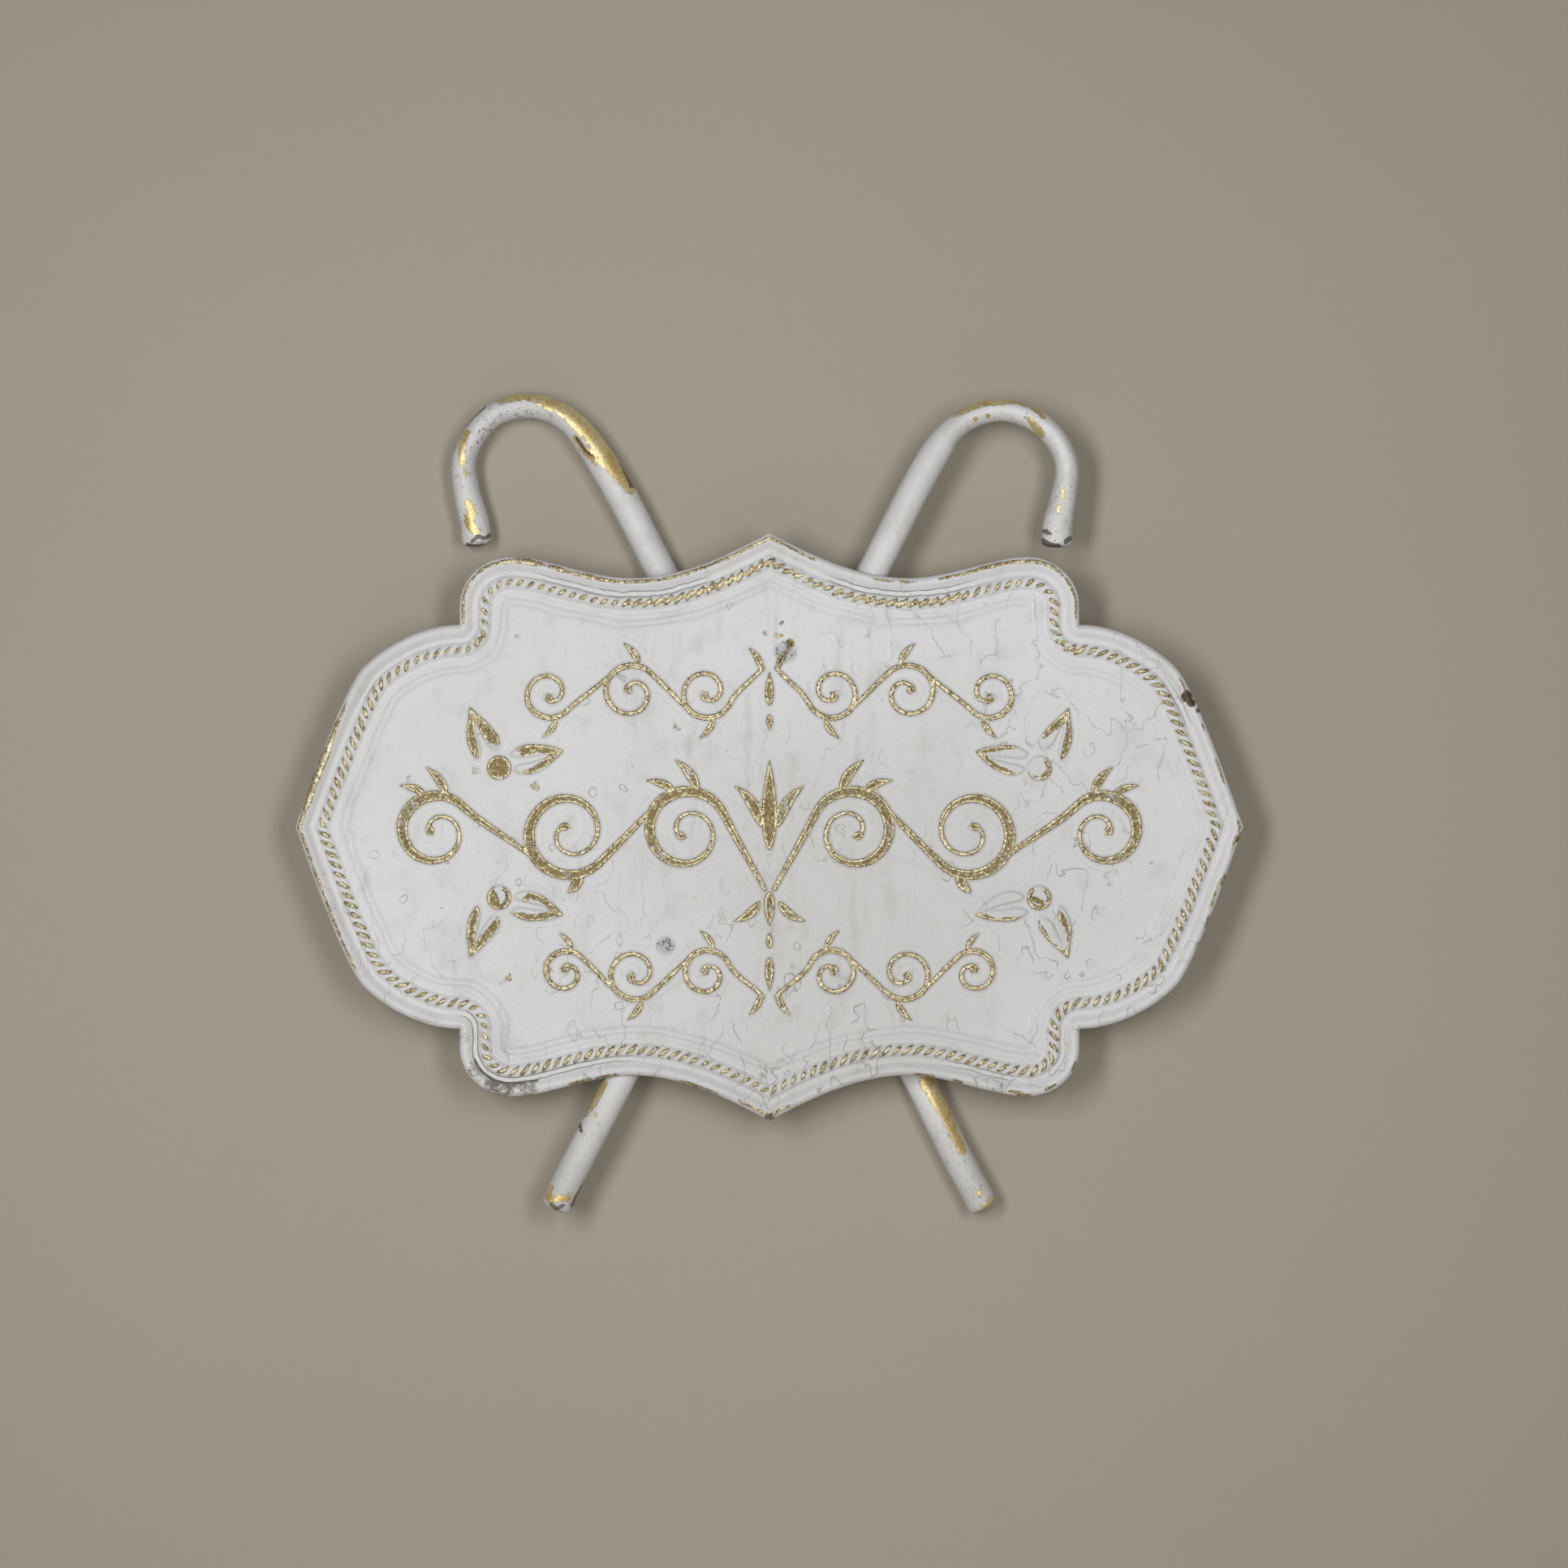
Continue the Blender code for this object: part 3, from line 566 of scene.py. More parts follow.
# the sheet's cross section, in from its edge and up from its back
sheetSection = {
    "edge": ((0, 0), (0, 1.0), (0, 2.0), (0.10, 2.9), (0.32, 3.6), (0.62, 4.15)),
    "table": (
        (1.0, 4.6), (2.1, 5.5), (3.4, 5.9), (4.8, 5.6), (6.2, 4.8), (7.5, 3.75), (8.6, 3.05),
        (9.6, 2.95), (10.6, 3.25), (11.3, 3.2), (12.2, 3.9), (13.6, 4.7), (15.6, 5.0), (17.6, 4.7),
        (19.0, 3.9), (20.0, 3.3), (21.2, 3.1), (22.6, 3.25), (24.2, 3.45), (25.4, 3.25), (26.6, 2.55),
        (27.8, 2.3), (28.8, 2.25), (30.0, 1.6), (31.4, 1.12), (34.0, 1.0),
    ),
    "thickness": 1.0,
    "highest": 6.15,
}


def baseHeight(distance):
    return smoothTable(distance, sheetSection["table"])


def unevenness(x, z):
    return 0.14 * wobble(x, z, 38, 3) + 0.06 * wobble(x, z, 9, 4)


# the finish reads these from each point of the sheet: how far it is rubbed, its dirt and painted shade, how
# far in from the edge it lies, how far outside the ornament's strokes, and whether it is on the back
sheetAttributes = ("rub", "grime", "inset", "outside", "behind")
farOutside = 7
grooveGrime = 0.14


def noteWear(data, x, **row):
    for key in data:
        data[key].append(0 * x + row.get(key, 0))


rim = {
    # in from the edge: the worn crest, the outer side, and how far dirt reaches; with half widths
    "crest": 2.7,
    "crestWide": 1.05,
    "side": 1.0,
    "sideWide": 0.9,
    "dirtReach": 9,
    "crestPale": 0.14,
    "across": (1.0, 1.5, 2.0, 2.5, 3.0, 3.5, 4.0, 4.6, 5.3, 6.1, 6.9, 7.5, 8.1, 8.7, 9.3, 9.9, 10.5, 11.0),
    # the front turns down under the rope's edge, so that no gap shows
    "lap": (11.2, 2.65),
}
rimWear = {
    # x, z, reach, strength of what is rubbed through along the crest
    "crest": (
        (-188, 134, 11, 1.35), (-186, 148, 10, 1.1), (-166, 161, 16, 1.25), (-148, 162, 13, 1.2),
        (-124, 157, 12, 1.0), (-104, 153, 14, 1.1), (-80, 151, 18, 1.15), (-50, 157, 20, 1.2),
        (-22, 167, 18, 1.2), (-6, 176, 9, 1.5), (5, 175, 7, 1.2), (16, 168, 9, 0.9), (24, 163, 6, 0.6),
        (-265, 66, 14, 1.0), (-273, 48, 14, 1.35), (-279, 33, 13, 1.5), (-284, 18, 10, 1.1),
        (-287, 3, 9, 1.4), (-284, -14, 13, 1.0), (-277, -34, 12, 1.0), (-266, -56, 16, 1.0),
        (-256, -76, 13, 0.85),
        (289, 1, 5, 1.2), (284, -10, 6, 0.8), (272, -36, 7, 0.9), (268, -44, 6, 0.8), (262, 80, 8, 1.0),
        (256, 88, 7, 0.8), (268, 62, 5, 0.9), (275, 38, 5, 1.0), (278, 30, 4, 0.7),
        (150, 163, 22, 1.15), (130, 160, 18, 1.1), (112, 155, 12, 0.8), (70, 151, 8, 0.7), (84, 151, 6, 0.75),
        (172, 157, 10, 1.1), (184, 145, 9, 1.2), (188, 132, 6, 1.1),
        (-2, -176, 9, 1.5), (7, -174, 8, 1.2), (-14, -171, 8, 0.9), (150, -164, 6, 0.9), (172, -160, 5, 0.8),
    ),
    # where that line is broader
    "broad": (
        (-270, 53, 16, 0.5), (-277, 37, 16, 1.3), (-283, 20, 14, 1.1), (-128, 158, 34, 0.5),
        (150, 163, 26, 0.3),
    ),
    # chips low on the rim's outer side
    "side": (
        (-116, -153, 9, 1.1), (-99, -152, 8, 1.15), (-47, -156, 10, 1.1), (-35, -160, 6, 0.9),
        (92, -152, 5, 1.1), (98, -153, 4, 1.0), (115, -155, 4, 1.0), (155, -165, 6, 1.0), (184, -145, 5, 0.9),
        (-277, 12, 8, 1.0), (-281, 26, 8, 0.9), (286, -6, 4, 1.0), (276, -32, 5, 1.0), (262, -56, 8, 1.1),
        (256, -70, 7, 1.1), (248, -82, 6, 0.9), (-150, 163, 9, 0.7),
    ),
    "dirt": (
        (-164, -156, 14, 0.86), (-178, -148, 9, 0.72), (-148, -158, 10, 0.8), (-188, -128, 8, 0.66),
        (254.5, 79.5, 4.2, 1.7), (257.5, 75.5, 3.0, 1.5), (261.6, 71.0, 2.4, 1.2), (140, -159, 6, 0.7),
        (0, -178, 5, 0.9), (-6, 177, 3, 0.7),
    ),
    "groove": (
        (-110, 146, 34, 1.0), (-66, 141, 40, 1.4), (-34, 149, 26, 0.9), (72, 141, 42, 1.6),
        (100, 146, 26, 1.0), (200, 96, 30, 0.9), (-168, -145, 24, 1.6), (-130, -148, 34, 1.5),
        (-92, -141, 24, 0.9), (-176, -120, 14, 1.4), (170, -145, 26, 1.0), (130, -150, 26, 0.8),
        (250, 50, 50, 0.8), (-250, 50, 44, 0.7),
    ),
}


def rimSection():
    # the rim's front and back, as rows of distance in from the edge and height
    across = np.array(rim["across"])
    front = np.vstack((sheetSection["edge"], np.stack((across, baseHeight(across)), 1)))
    run = np.diff(front, axis=0)
    run /= np.linalg.norm(run, axis=1)[:, None]
    square = np.stack((-run[:, 1], run[:, 0]), 1)
    before, after = np.vstack((square[:1], square)), np.vstack((square, square[-1:]))
    mitre = (before + after) / (1 + (before * after).sum(1))[:, None]
    back = front - sheetSection["thickness"] * mitre
    back[0, 1] = 0
    return np.vstack((front, [rim["lap"]])), np.vstack((back[::-1][::2], back[:1]))


def buildRim(finish):
    front, back = rimSection()
    section = np.vstack((front, back))
    points, data = [], {key: [] for key in sheetAttributes}
    for k, (distance, height) in enumerate(section):
        ring = ringAt(max(distance, 0))[::3]
        x, z = ring.T
        onFront = k < len(front)
        height = np.minimum(height + unevenness(x, z) * smoothStep(height, 0.5, 3), sheetSection["highest"])
        points.append(toRow(x, z, height))
        shift = 0.35 * wobble(x, z, 24, 33)
        wide = rim["crestWide"] + zones(x, z, rimWear["broad"])
        crest, side, dirty = 0 * x, 0, 0
        if onFront and k > 3:
            crest = np.exp(-(((distance - rim["crest"] - shift) / wide) ** 2))
        if onFront and k > 1:
            side = math.exp(-(((distance - rim["side"]) / rim["sideWide"]) ** 2))
        if onFront and distance < rim["dirtReach"]:
            dirty = zones(x, z, rimWear["dirt"])
        uneven = 0.84 + 0.26 * wobble(x, z, 11, 31) + 0.18 * wobble(x, z, 4.5, 32)
        worn = zones(x, z, rimWear["crest"]) * crest * uneven
        chipped = zones(x, z, rimWear["side"]) * side * uneven
        inGroove = smoothStep(distance, 7.0, 8.0) if onFront else 0
        noteWear(
            data, x,
            rub=np.maximum(worn, chipped) + rim["crestPale"] * crest,
            grime=dirty + zones(x, z, rimWear["groove"]) * inGroove * grooveGrime,
            inset=distance, outside=farOutside, behind=not onFront,
        )
    addSheet("rolledRim", points, ringFaces(len(section), len(ring)), finish, data)


rope = {
    "middle": 15.8,
    "pitch": 6.6,
    "slant": 42,
    "strandHalfWidth": 1.65,
    "strandHalfLength": 4.8,
    "strandRise": 0.95,
    "markHalfWidth": 1.30,
    "markHalfLength": 4.3,
    "backRows": (20.3, 18.0, 15.6, 13.2, 11.0),
    # where the gold marks are shorter: x, z, reach, how much
    "shortMarks": (
        (-150, 145, 34, 1.9), (-112, 142, 30, 1.9), (-178, 118, 16, 1.9), (-186, 106, 18, 1.2),
        (-215, 98, 26, 1.2), (150, 146, 34, 1.4), (0, -158, 30, 1.7), (-30, -148, 22, 1.3),
        (-172, -118, 16, 1.9), (-176, -140, 12, 1.6), (24, 150, 16, 1.4), (284, 0, 16, 1.4),
        (172, 120, 20, 0.8),
    ),
    # the crest worn through from strand to strand
    "runs": (
        (-80, 137, 9, 0.85), (-64, 138, 12, 1.0), (-46, 142, 14, 1.3), (-28, 147, 14, 1.35),
        (-12, 156, 12, 1.3), (0, 162, 9, 1.2), (14, 156, 9, 0.8), (30, 148, 10, 0.75), (46, 142, 8, 0.8),
        (62, 138, 12, 1.1), (80, 136, 14, 1.3), (98, 138, 14, 1.2), (114, 142, 8, 0.9), (174, 107, 9, 1.2),
        (184, 102, 9, 1.3), (-176, 112, 6, 0.9), (-182, 104, 6, 0.8),
    ),
}


def buildRope(finish):
    front = np.concatenate(([11.0, 11.6], np.arange(12.1, 19.2, 0.47), [19.8, 20.1, 20.3]))
    rings = [ringAt(d) for d in front]
    middleRing = rings[len(rings) // 2]
    runs = []
    for ring in (rings[0], middleRing, rings[-1]):
        step = np.linalg.norm(np.roll(ring, -1, axis=0) - ring, axis=1)
        runs.append(np.concatenate(([0], np.cumsum(step)[:-1])) / step.sum())
        if ring is middleRing:
            count = round(step.sum() / rope["pitch"])
    along = np.mean(runs, axis=0)
    slant = math.radians(rope["slant"])
    chance = np.random.default_rng(11).uniform(0, 1, (count, 4))
    points, data = [], {key: [] for key in sheetAttributes}
    for d, ring in zip(front, rings):
        x, z = ring.T
        inwards = d - rope["middle"]
        phase = along * count + inwards / math.tan(slant) / rope["pitch"]
        same = np.flatnonzero(np.linalg.norm(ring - np.roll(ring, 1, axis=0), axis=1) < 1e-6)
        for k in (*same, *same):
            phase[k] = phase[k - 1]
        nearest = np.round(phase)
        one = chance[nearest.astype(int) % count]
        q = (phase - nearest) * rope["pitch"] * math.sin(slant)
        p = q / math.tan(slant) - inwards / math.sin(slant) + (one[:, 0] - 0.5) * 0.7
        across = np.clip(1 - (q / rope["strandHalfWidth"]) ** 2, 0, 1)
        endwise = np.clip(1 - (p / rope["strandHalfLength"]) ** 2, 0, 1)
        rise = rope["strandRise"] * across**0.85 * endwise**0.7 * (0.8 + 0.3 * one[:, 1])
        worn = zones(x, z, rope["runs"])
        height = baseHeight(d) + rise * (1 - 0.25 * np.clip(worn, 0, 1)) + unevenness(x, z)
        if d == front[-1]:
            height = height - 0.6
        points.append(toRow(x, z, np.minimum(height, sheetSection["highest"])))
        reach = rope["markHalfLength"] - zones(x, z, rope["shortMarks"]) * 0.8 + (one[:, 2] - 0.5) * 0.9
        wide = rope["markHalfWidth"] * (0.75 + 0.25 * reach / rope["markHalfLength"])
        mark = np.clip(1 - (q / wide) ** 2 - (p / reach) ** 2, -1, 1)
        mark = np.clip(0.5 + mark * 0.62, 0, 1) * (0.90 + 0.22 * one[:, 3])
        crest = math.exp(-((inwards / 1.75) ** 2))
        lumps = 0.70 + 0.34 * across + 0.12 * wobble(x, z, 7, 41)
        # shade is painted along one side of each mark and at one end of it
        beside = np.clip(1 - ((q + 1.05) / 0.60) ** 2, 0, 1) * np.clip(1 - (p / reach) ** 2, 0, 1)
        atEnd = np.clip(1 - ((p - reach * 0.8) / 0.9) ** 2, 0, 1)
        atEnd = np.clip(1 - (q / 0.8) ** 2, 0, 1) * atEnd
        inGroove = smoothStep(d, 13.0, 12.4) if d < 13 else 0
        low = zones(x, z, rimWear["groove"]) * inGroove * grooveGrime
        noteWear(
            data, x,
            rub=np.maximum(mark, worn * crest * lumps),
            grime=np.maximum(np.maximum(beside, atEnd) * 0.72, low),
            inset=d, outside=farOutside,
        )
    for d in rope["backRows"]:
        x, z = ringAt(d).T
        points.append(toRow(x, z, baseHeight(d) - sheetSection["thickness"] + unevenness(x, z)))
        noteWear(data, x, inset=d, outside=farOutside, behind=1)
    addSheet("ropeBorder", points, ringFaces(len(points), len(points[0])), finish, data)


# the raised ornament, as strokes of x, z, half width in millimetres

spiral = {
    "pointsPerMm": 0.62,
    # degrees before it starts to tighten, how much it does, and how evenly
    "steady": 110,
    "tightening": 0.83,
    "evenness": 1.15,
    # the knob at its end, in end widths
    "knob": 3,
}


def coil(centre, radius, start, turned, way, widths):
    # a spiral from its outside in; way 1 runs anticlockwise
    count = int(radius * math.radians(turned) * spiral["pointsPerMm"])
    t = np.linspace(0, 1, count)
    angle = math.radians(start) + way * math.radians(turned) * t
    steady = spiral["steady"] / turned
    share = np.clip((t - steady) / (1 - steady), 0, 1)
    reach = radius * (1 - spiral["tightening"] * share ** spiral["evenness"])
    x = centre[0] + reach * np.cos(angle)
    z = centre[1] + reach * np.sin(angle)
    width = smoothTable(t, widths)
    run = np.concatenate(([0], np.cumsum(np.hypot(np.diff(x), np.diff(z)))))
    knob = np.clip(1 - (run[-1] - run) / (spiral["knob"] * width[-1]), 0, 1)
    width = width + width[-1] * np.sqrt(1 - (1 - knob) ** 2)
    return np.stack((x, z, width), 1)


def stemTo(stroke, start, heading, thin, thick):
    # a smooth stem from a point into the start of a coil
    start, end = np.array(start, float), stroke[0, :2]
    into = (stroke[1, :2] - end) / np.linalg.norm(stroke[1, :2] - end)
    gap = np.linalg.norm(end - start)
    leave = np.array((math.cos(math.radians(heading)), math.sin(math.radians(heading))))
    t = np.linspace(0, 1, max(4, int(gap / 0.9)), endpoint=False)[:, None]
    line = (2 * t**3 - 3 * t**2 + 1) * start + (3 * t**2 - 2 * t**3) * end
    line = line + ((t**3 - 2 * t**2 + t) * leave + (t**3 - t**2) * into) * gap
    return np.vstack((np.hstack((line, thin + (thick - thin) * t)), stroke))


def leaf(base, heading, length, width, bend=0.0):
    count = max(8, int(length / 0.9))
    t = np.linspace(0, 1, count)
    angle = math.radians(heading) + math.radians(bend) * (t - 0.5)
    step = length / (count - 1)
    x = base[0] + np.concatenate(([0], np.cumsum(np.cos(angle[1:])))) * step
    z = base[1] + np.concatenate(([0], np.cumsum(np.sin(angle[1:])))) * step
    return np.stack((x, z, np.maximum(width * np.sin(math.pi * t**0.75) ** 0.85, 0.25)), 1)


def leafOnCoil(centre, radius, way, angle, length, width):
    # springs from the outside of a coil and bends along with it
    turned = math.radians(angle)
    base = (centre[0] + (radius + 1.5) * math.cos(turned), centre[1] + (radius + 1.5) * math.sin(turned))
    return leaf(base, angle + way * 50, length, width, way * 40)


def blade(points):
    # a curved stroke through a few points of x, z, half width
    points = np.array(points, float)
    run = np.concatenate(([0], np.cumsum(np.linalg.norm(np.diff(points[:, :2], axis=0), axis=1))))
    t = np.linspace(0, run[-1], max(8, int(run[-1] / 0.9)))
    return np.stack([smoothTable(t, np.stack((run, points[:, k]), 1)) for k in range(3)], 1)


# each row: where the stem starts and heads, thick and thin half widths, then the coils as
# centre, radius, way round, degrees turned; the left half is its mirror image
scrollRows = {
    "upper": ((4, 97), -50, 1.65, 1.10, (
        ((38, 82), 15.5, 1, 470), ((84, 82), 16.5, -1, 470), ((134, 81), 14.5, 1, 430))),
    "middle": ((3, -38), 62, 3.40, 1.20, (
        ((50, -3), 24.5, -1, 560), ((122, -4), 25.5, 1, 560), ((203, -3), 22.0, -1, 500))),
    "lower": ((4, -104), 50, 1.65, 1.10, (
        ((38, -90), 14.5, -1, 470), ((82, -90), 15.5, 1, 470), ((124, -89), 13.0, -1, 430))),
}
scrollLeaves = {
    "half": (
        ((5, 0), 58, 30, 3.4, -46), ((5, 96), 62, 15, 2.0, -40), ((5, -102), -62, 15, 2.0, 40),
        ((6, -46), -38, 20, 2.6, 50),
    ),
    "middle": (
        ((0, -14), 90, 54, 4.6), ((0, -40), -90, 20, 3.2), ((0, 74), 90, 20, 2.6), ((0, 68), -90, 9, 1.9),
        ((0, -80), -90, 20, 2.6), ((0, -74), 90, 9, 1.9),
    ),
}
# one sprig about its berry: an upright leaf and a sideways one, each of two lobes
sprig = {
    "berry": 7.2,
    "lobes": (
        ((-17.6, 36.2, 0.4), (-16.9, 28.0, 2.0), (-17.0, 21.7, 2.7), (-15.6, 14.7, 3.2),
         (-14.1, 9.5, 2.4), (-13.4, 6.0, 0.8)),
        ((-17.2, 36.0, 0.4), (-13.8, 30.8, 1.8), (-10.0, 26.0, 2.9), (-6.6, 20.9, 3.8),
         (-3.6, 16.4, 3.7), (-2.4, 14.2, 2.4)),
        ((38.4, 10.2, 0.4), (34.5, 10.4, 1.8), (29.8, 10.6, 2.8), (23.0, 10.8, 3.3), (16.0, 10.2, 3.5),
         (11.0, 8.9, 2.4), (8.4, 8.6, 1.0)),
        ((38.2, 9.9, 0.4), (33.5, 6.6, 1.6), (29.0, 3.7, 2.4), (23.2, 0.8, 3.1), (16.5, -0.7, 3.1),
         (12.2, -0.7, 2.0), (10.2, -0.4, 0.9)),
    ),
    "places": ((-165.1, 36.0, 1, 1), (165.0, 35.5, -1, 1), (-165.1, -43.4, 1, -1), (164.6, -43.6, -1, -1)),
    # where the gold shows on them, as strokes
    "bare": (
        ((-182.5, 71.3, 1.0), (-183.1, 64.6, 2.1), (-183.1, 57.6, 2.2), (-181.7, 50.6, 2.2),
         (-179.3, 43.3, 1.1)),
        ((-181.4, 69.9, 1.4), (-177.6, 64.9, 2.8), (-173.9, 60.4, 3.4), (-170.5, 56.2, 3.5),
         (-167.7, 52.8, 2.2)),
        ((-165.3, 35.9, 7.0), (-165.2, 35.8, 7.0)),
        ((-153.4, 47.5, 0.7), (-149.0, 48.5, 1.3), (-143.4, 48.6, 1.7), (-136.4, 47.5, 2.1),
         (-130.8, 46.1, 2.0), (-127.7, 45.7, 0.8)),
        ((-128.7, 45.0, 1.1), (-132.9, 42.5, 2.1), (-136.4, 39.7, 1.4), (-142.0, 35.9, 0.8),
         (-149.2, 32.8, 0.6)),
        ((-150.6, 44.2, 0.6), (-147.6, 45.5, 0.8), (-144.1, 46.7, 1.1)),
        ((182.5, 70.5, 0.8), (183.6, 64.6, 1.3), (183.8, 57.6, 1.7), (182.4, 50.6, 2.1),
         (180.4, 45.0, 1.4), (178.7, 40.8, 0.7)),
        ((182.2, 69.9, 1.1), (178.7, 65.7, 2.1), (175.2, 62.9, 2.2), (171.7, 59.7, 1.4), (168.0, 55.3, 0.7)),
        ((168.9, 40.5, 0.4), (170.9, 37.3, 1.0), (170.6, 33.5, 1.3), (168.4, 30.7, 1.4), (167.3, 28.8, 0.8)),
        ((158.3, 32.0, 0.6), (160.5, 29.6, 0.7), (163.1, 29.9, 0.6)),
        ((126.4, 45.0, 0.7), (129.5, 44.7, 1.0), (132.0, 41.9, 1.0), (135.4, 38.7, 0.7), (139.5, 35.9, 0.7),
         (144.0, 34.1, 0.7), (149.1, 32.0, 0.4)),
        ((128.4, 46.1, 0.8), (132.6, 46.7, 0.7), (138.1, 47.5, 0.7), (144.0, 48.5, 0.6), (149.6, 49.0, 0.6)),
        ((-178.2, -49.0, 0.8), (-180.7, -54.1, 1.8), (-181.7, -61.1, 1.7), (-182.8, -68.1, 1.7),
         (-183.1, -73.7, 1.7), (-182.5, -77.4, 0.8)),
        ((-181.8, -75.8, 1.4), (-176.9, -70.9, 2.0), (-172.0, -66.0, 1.8), (-168.5, -61.1, 1.5),
         (-165.2, -56.9, 1.0)),
        ((-170.2, -37.6, 1.4), (-171.6, -43.0, 1.7), (-169.9, -47.2, 2.0), (-166.0, -49.3, 1.7),
         (-162.2, -48.6, 1.7), (-159.3, -45.1, 1.7), (-158.8, -40.9, 1.7), (-161.3, -37.4, 1.3)),
        ((-168.3, -41.6, 1.3), (-166.9, -45.5, 1.3)),
        ((-149.0, -44.4, 0.8), (-146.2, -42.3, 1.1), (-142.7, -43.0, 1.1), (-138.5, -44.4, 1.1),
         (-135.7, -47.2, 1.1), (-132.9, -49.3, 1.5), (-129.4, -52.5, 1.1), (-127.4, -53.6, 0.6)),
        ((-156.0, -53.9, 0.6), (-151.8, -54.8, 1.3), (-146.2, -55.5, 1.4), (-140.6, -55.3, 1.4),
         (-135.0, -54.1, 1.5), (-130.8, -53.0, 1.3)),
        ((126.0, -54.6, 0.7), (129.8, -54.8, 1.3), (134.0, -56.7, 1.3), (139.5, -58.1, 1.0),
         (145.1, -57.6, 1.3), (150.0, -57.2, 1.3), (153.8, -56.5, 0.6)),
        ((159.8, -38.8, 1.0), (158.3, -43.0, 1.1), (159.1, -46.9, 1.0), (161.5, -49.5, 1.3),
         (165.0, -50.7, 1.3), (168.4, -48.6, 1.1), (170.7, -45.5, 0.7), (170.5, -41.6, 0.7),
         (168.9, -38.5, 0.7)),
        ((161.9, -44.1, 0.6), (165.9, -46.0, 0.7)),
        ((163.9, -60.3, 0.7), (166.3, -63.9, 1.4), (168.9, -68.8, 1.4), (172.6, -72.3, 1.0),
         (176.2, -75.3, 0.8), (180.4, -78.2, 0.7)),
        ((177.3, -53.3, 0.8), (179.3, -56.7, 1.3), (180.3, -59.3, 0.7)),
        ((182.1, -61.1, 0.6), (183.3, -65.3, 0.7), (183.1, -69.8, 0.4)),
        ((183.8, -73.0, 0.7), (181.7, -76.3, 1.0), (182.4, -78.9, 0.7)),
    ),
}
relief = {"rise": 1.15, "foot": 0.9, "shoulder": 1.0}


def sprigs():
    strokes = []
    for x, z, sideways, upwards in sprig["places"]:
        strokes += [blade(points) * (sideways, upwards, 1) + (x, z, 0) for points in sprig["lobes"]]
        strokes.append(np.array(((x, z, sprig["berry"]), (x + 0.01, z, sprig["berry"]))))
    return strokes


def ornament():
    half = [leaf(*one) for one in scrollLeaves["half"]]
    for start, heading, thick, thin, coils in scrollRows.values():
        for centre, radius, way, turned in coils:
            between = (thick + thin) / 2
            widths = ((0, between), (0.16, thick), (0.34, thick * 0.8), (0.55, thin * 1.15), (1, thin))
            enter = (25 if start[0] < 10 else 45) * way + 180
            stroke = coil(centre, radius, enter, turned, way, widths)
            half.append(stemTo(stroke, start, heading, thin, between))
            # in the heavy row leaves are short where the sprigs are near, else a second one follows
            heavy = thick > 3
            size = radius * (0.5 if heavy and way > 0 else 0.95)
            half.append(leafOnCoil(centre, radius, way, -way * 104, size, radius * 0.12))
            if heavy and way < 0:
                half.append(leafOnCoil(centre, radius, way, -way * 72, radius * 0.75, radius * 0.10))
            # the next coil's stem leaves this one
            leave = math.radians(-way * 48)
            start = (centre[0] + radius * math.cos(leave), centre[1] + radius * math.sin(leave))
            heading = way * 42
    strokes = half + [stroke * (-1, 1, 1) for stroke in half]
    return strokes + [leaf(*one) for one in scrollLeaves["middle"]] + sprigs()


def strokeDistance(points, strokes, reach=7.0):
    # distance outside the nearest stroke's edge, negative inside it, and from -1 to 1 how much
    # the point lies to the lower right of that stroke, the side where shade is painted
    result, leaning = np.full(len(points), reach), np.zeros(len(points))
    for stroke in strokes:
        wide = stroke[:, 2].max() + reach
        near = np.flatnonzero(
            ((points > stroke[:, :2].min(0) - wide) & (points < stroke[:, :2].max(0) + wide)).all(1)
        )
        start = stroke[:-1]
        along = stroke[1:, :2] - start[:, :2]
        length = np.maximum((along**2).sum(1), 1e-12)
        for k in range(0, len(near), 8000):
            some = near[k : k + 8000]
            offset = points[some, None] - start[None, :, :2]
            share = np.clip((offset * along).sum(2) / length, 0, 1)
            offset = offset - share[..., None] * along
            far = np.linalg.norm(offset, axis=2)
            edge = far - start[:, 2] - share * (stroke[1:, 2] - start[:, 2])
            best = (np.arange(len(some)), edge.argmin(1))
            nearer = edge[best] < result[some]
            lean = (offset[best] @ (0.7, -0.7)) / np.maximum(far[best], 0.2)
            result[some[nearer]], leaning[some[nearer]] = edge[best][nearer], lean[nearer]
    return result, leaning


def rowsBeside(stroke):
    # rows of points along a stroke, close together where its sides are steep
    if len(stroke) == 2:
        angle = np.linspace(0, 2 * math.pi, 56, endpoint=False)
        turn = np.stack((np.cos(angle), np.sin(angle)), 1)
        extras = (0, 0.45, 0.9, -0.45, -1.1, -2.2, -4, 1.8, 3.2, 4.8)
        return [stroke[0, :2] + turn * (stroke[0, 2] + extra) for extra in extras]
    run = np.gradient(stroke[:, :2], axis=0)
    run /= np.maximum(np.linalg.norm(run, axis=1), 1e-9)[:, None]
    side = np.stack((-run[:, 1], run[:, 0]), 1)
    rows = [
        np.array([
            end[:2] + way * (end[2] + extra)
            for end, way in ((stroke[0], -run[0]), (stroke[-1], run[-1]))
            for extra in (0, 0.45, 0.9, 1.8)
        ]),
        stroke[:, :2],
    ]
    for extra in (0, 0.45, 0.9, -0.45, -1.1, -2.0, 1.8, 3.2, 4.8):
        step = 2 if extra > 1 else 1
        for sign in (-1, 1):
            reach = stroke[:, 2] + extra
            rows.append((stroke[:, :2] + side * (sign * reach)[:, None])[reach > 0.15][::step])
    return rows


def spread(points, gap):
    # thins points that share a cell of about the gap, keeping the earlier ones
    cell = np.round(points / gap).astype(np.int64)
    _, first = np.unique(cell[:, 0] * 100003 + cell[:, 1], return_index=True)
    return points[np.sort(first)]


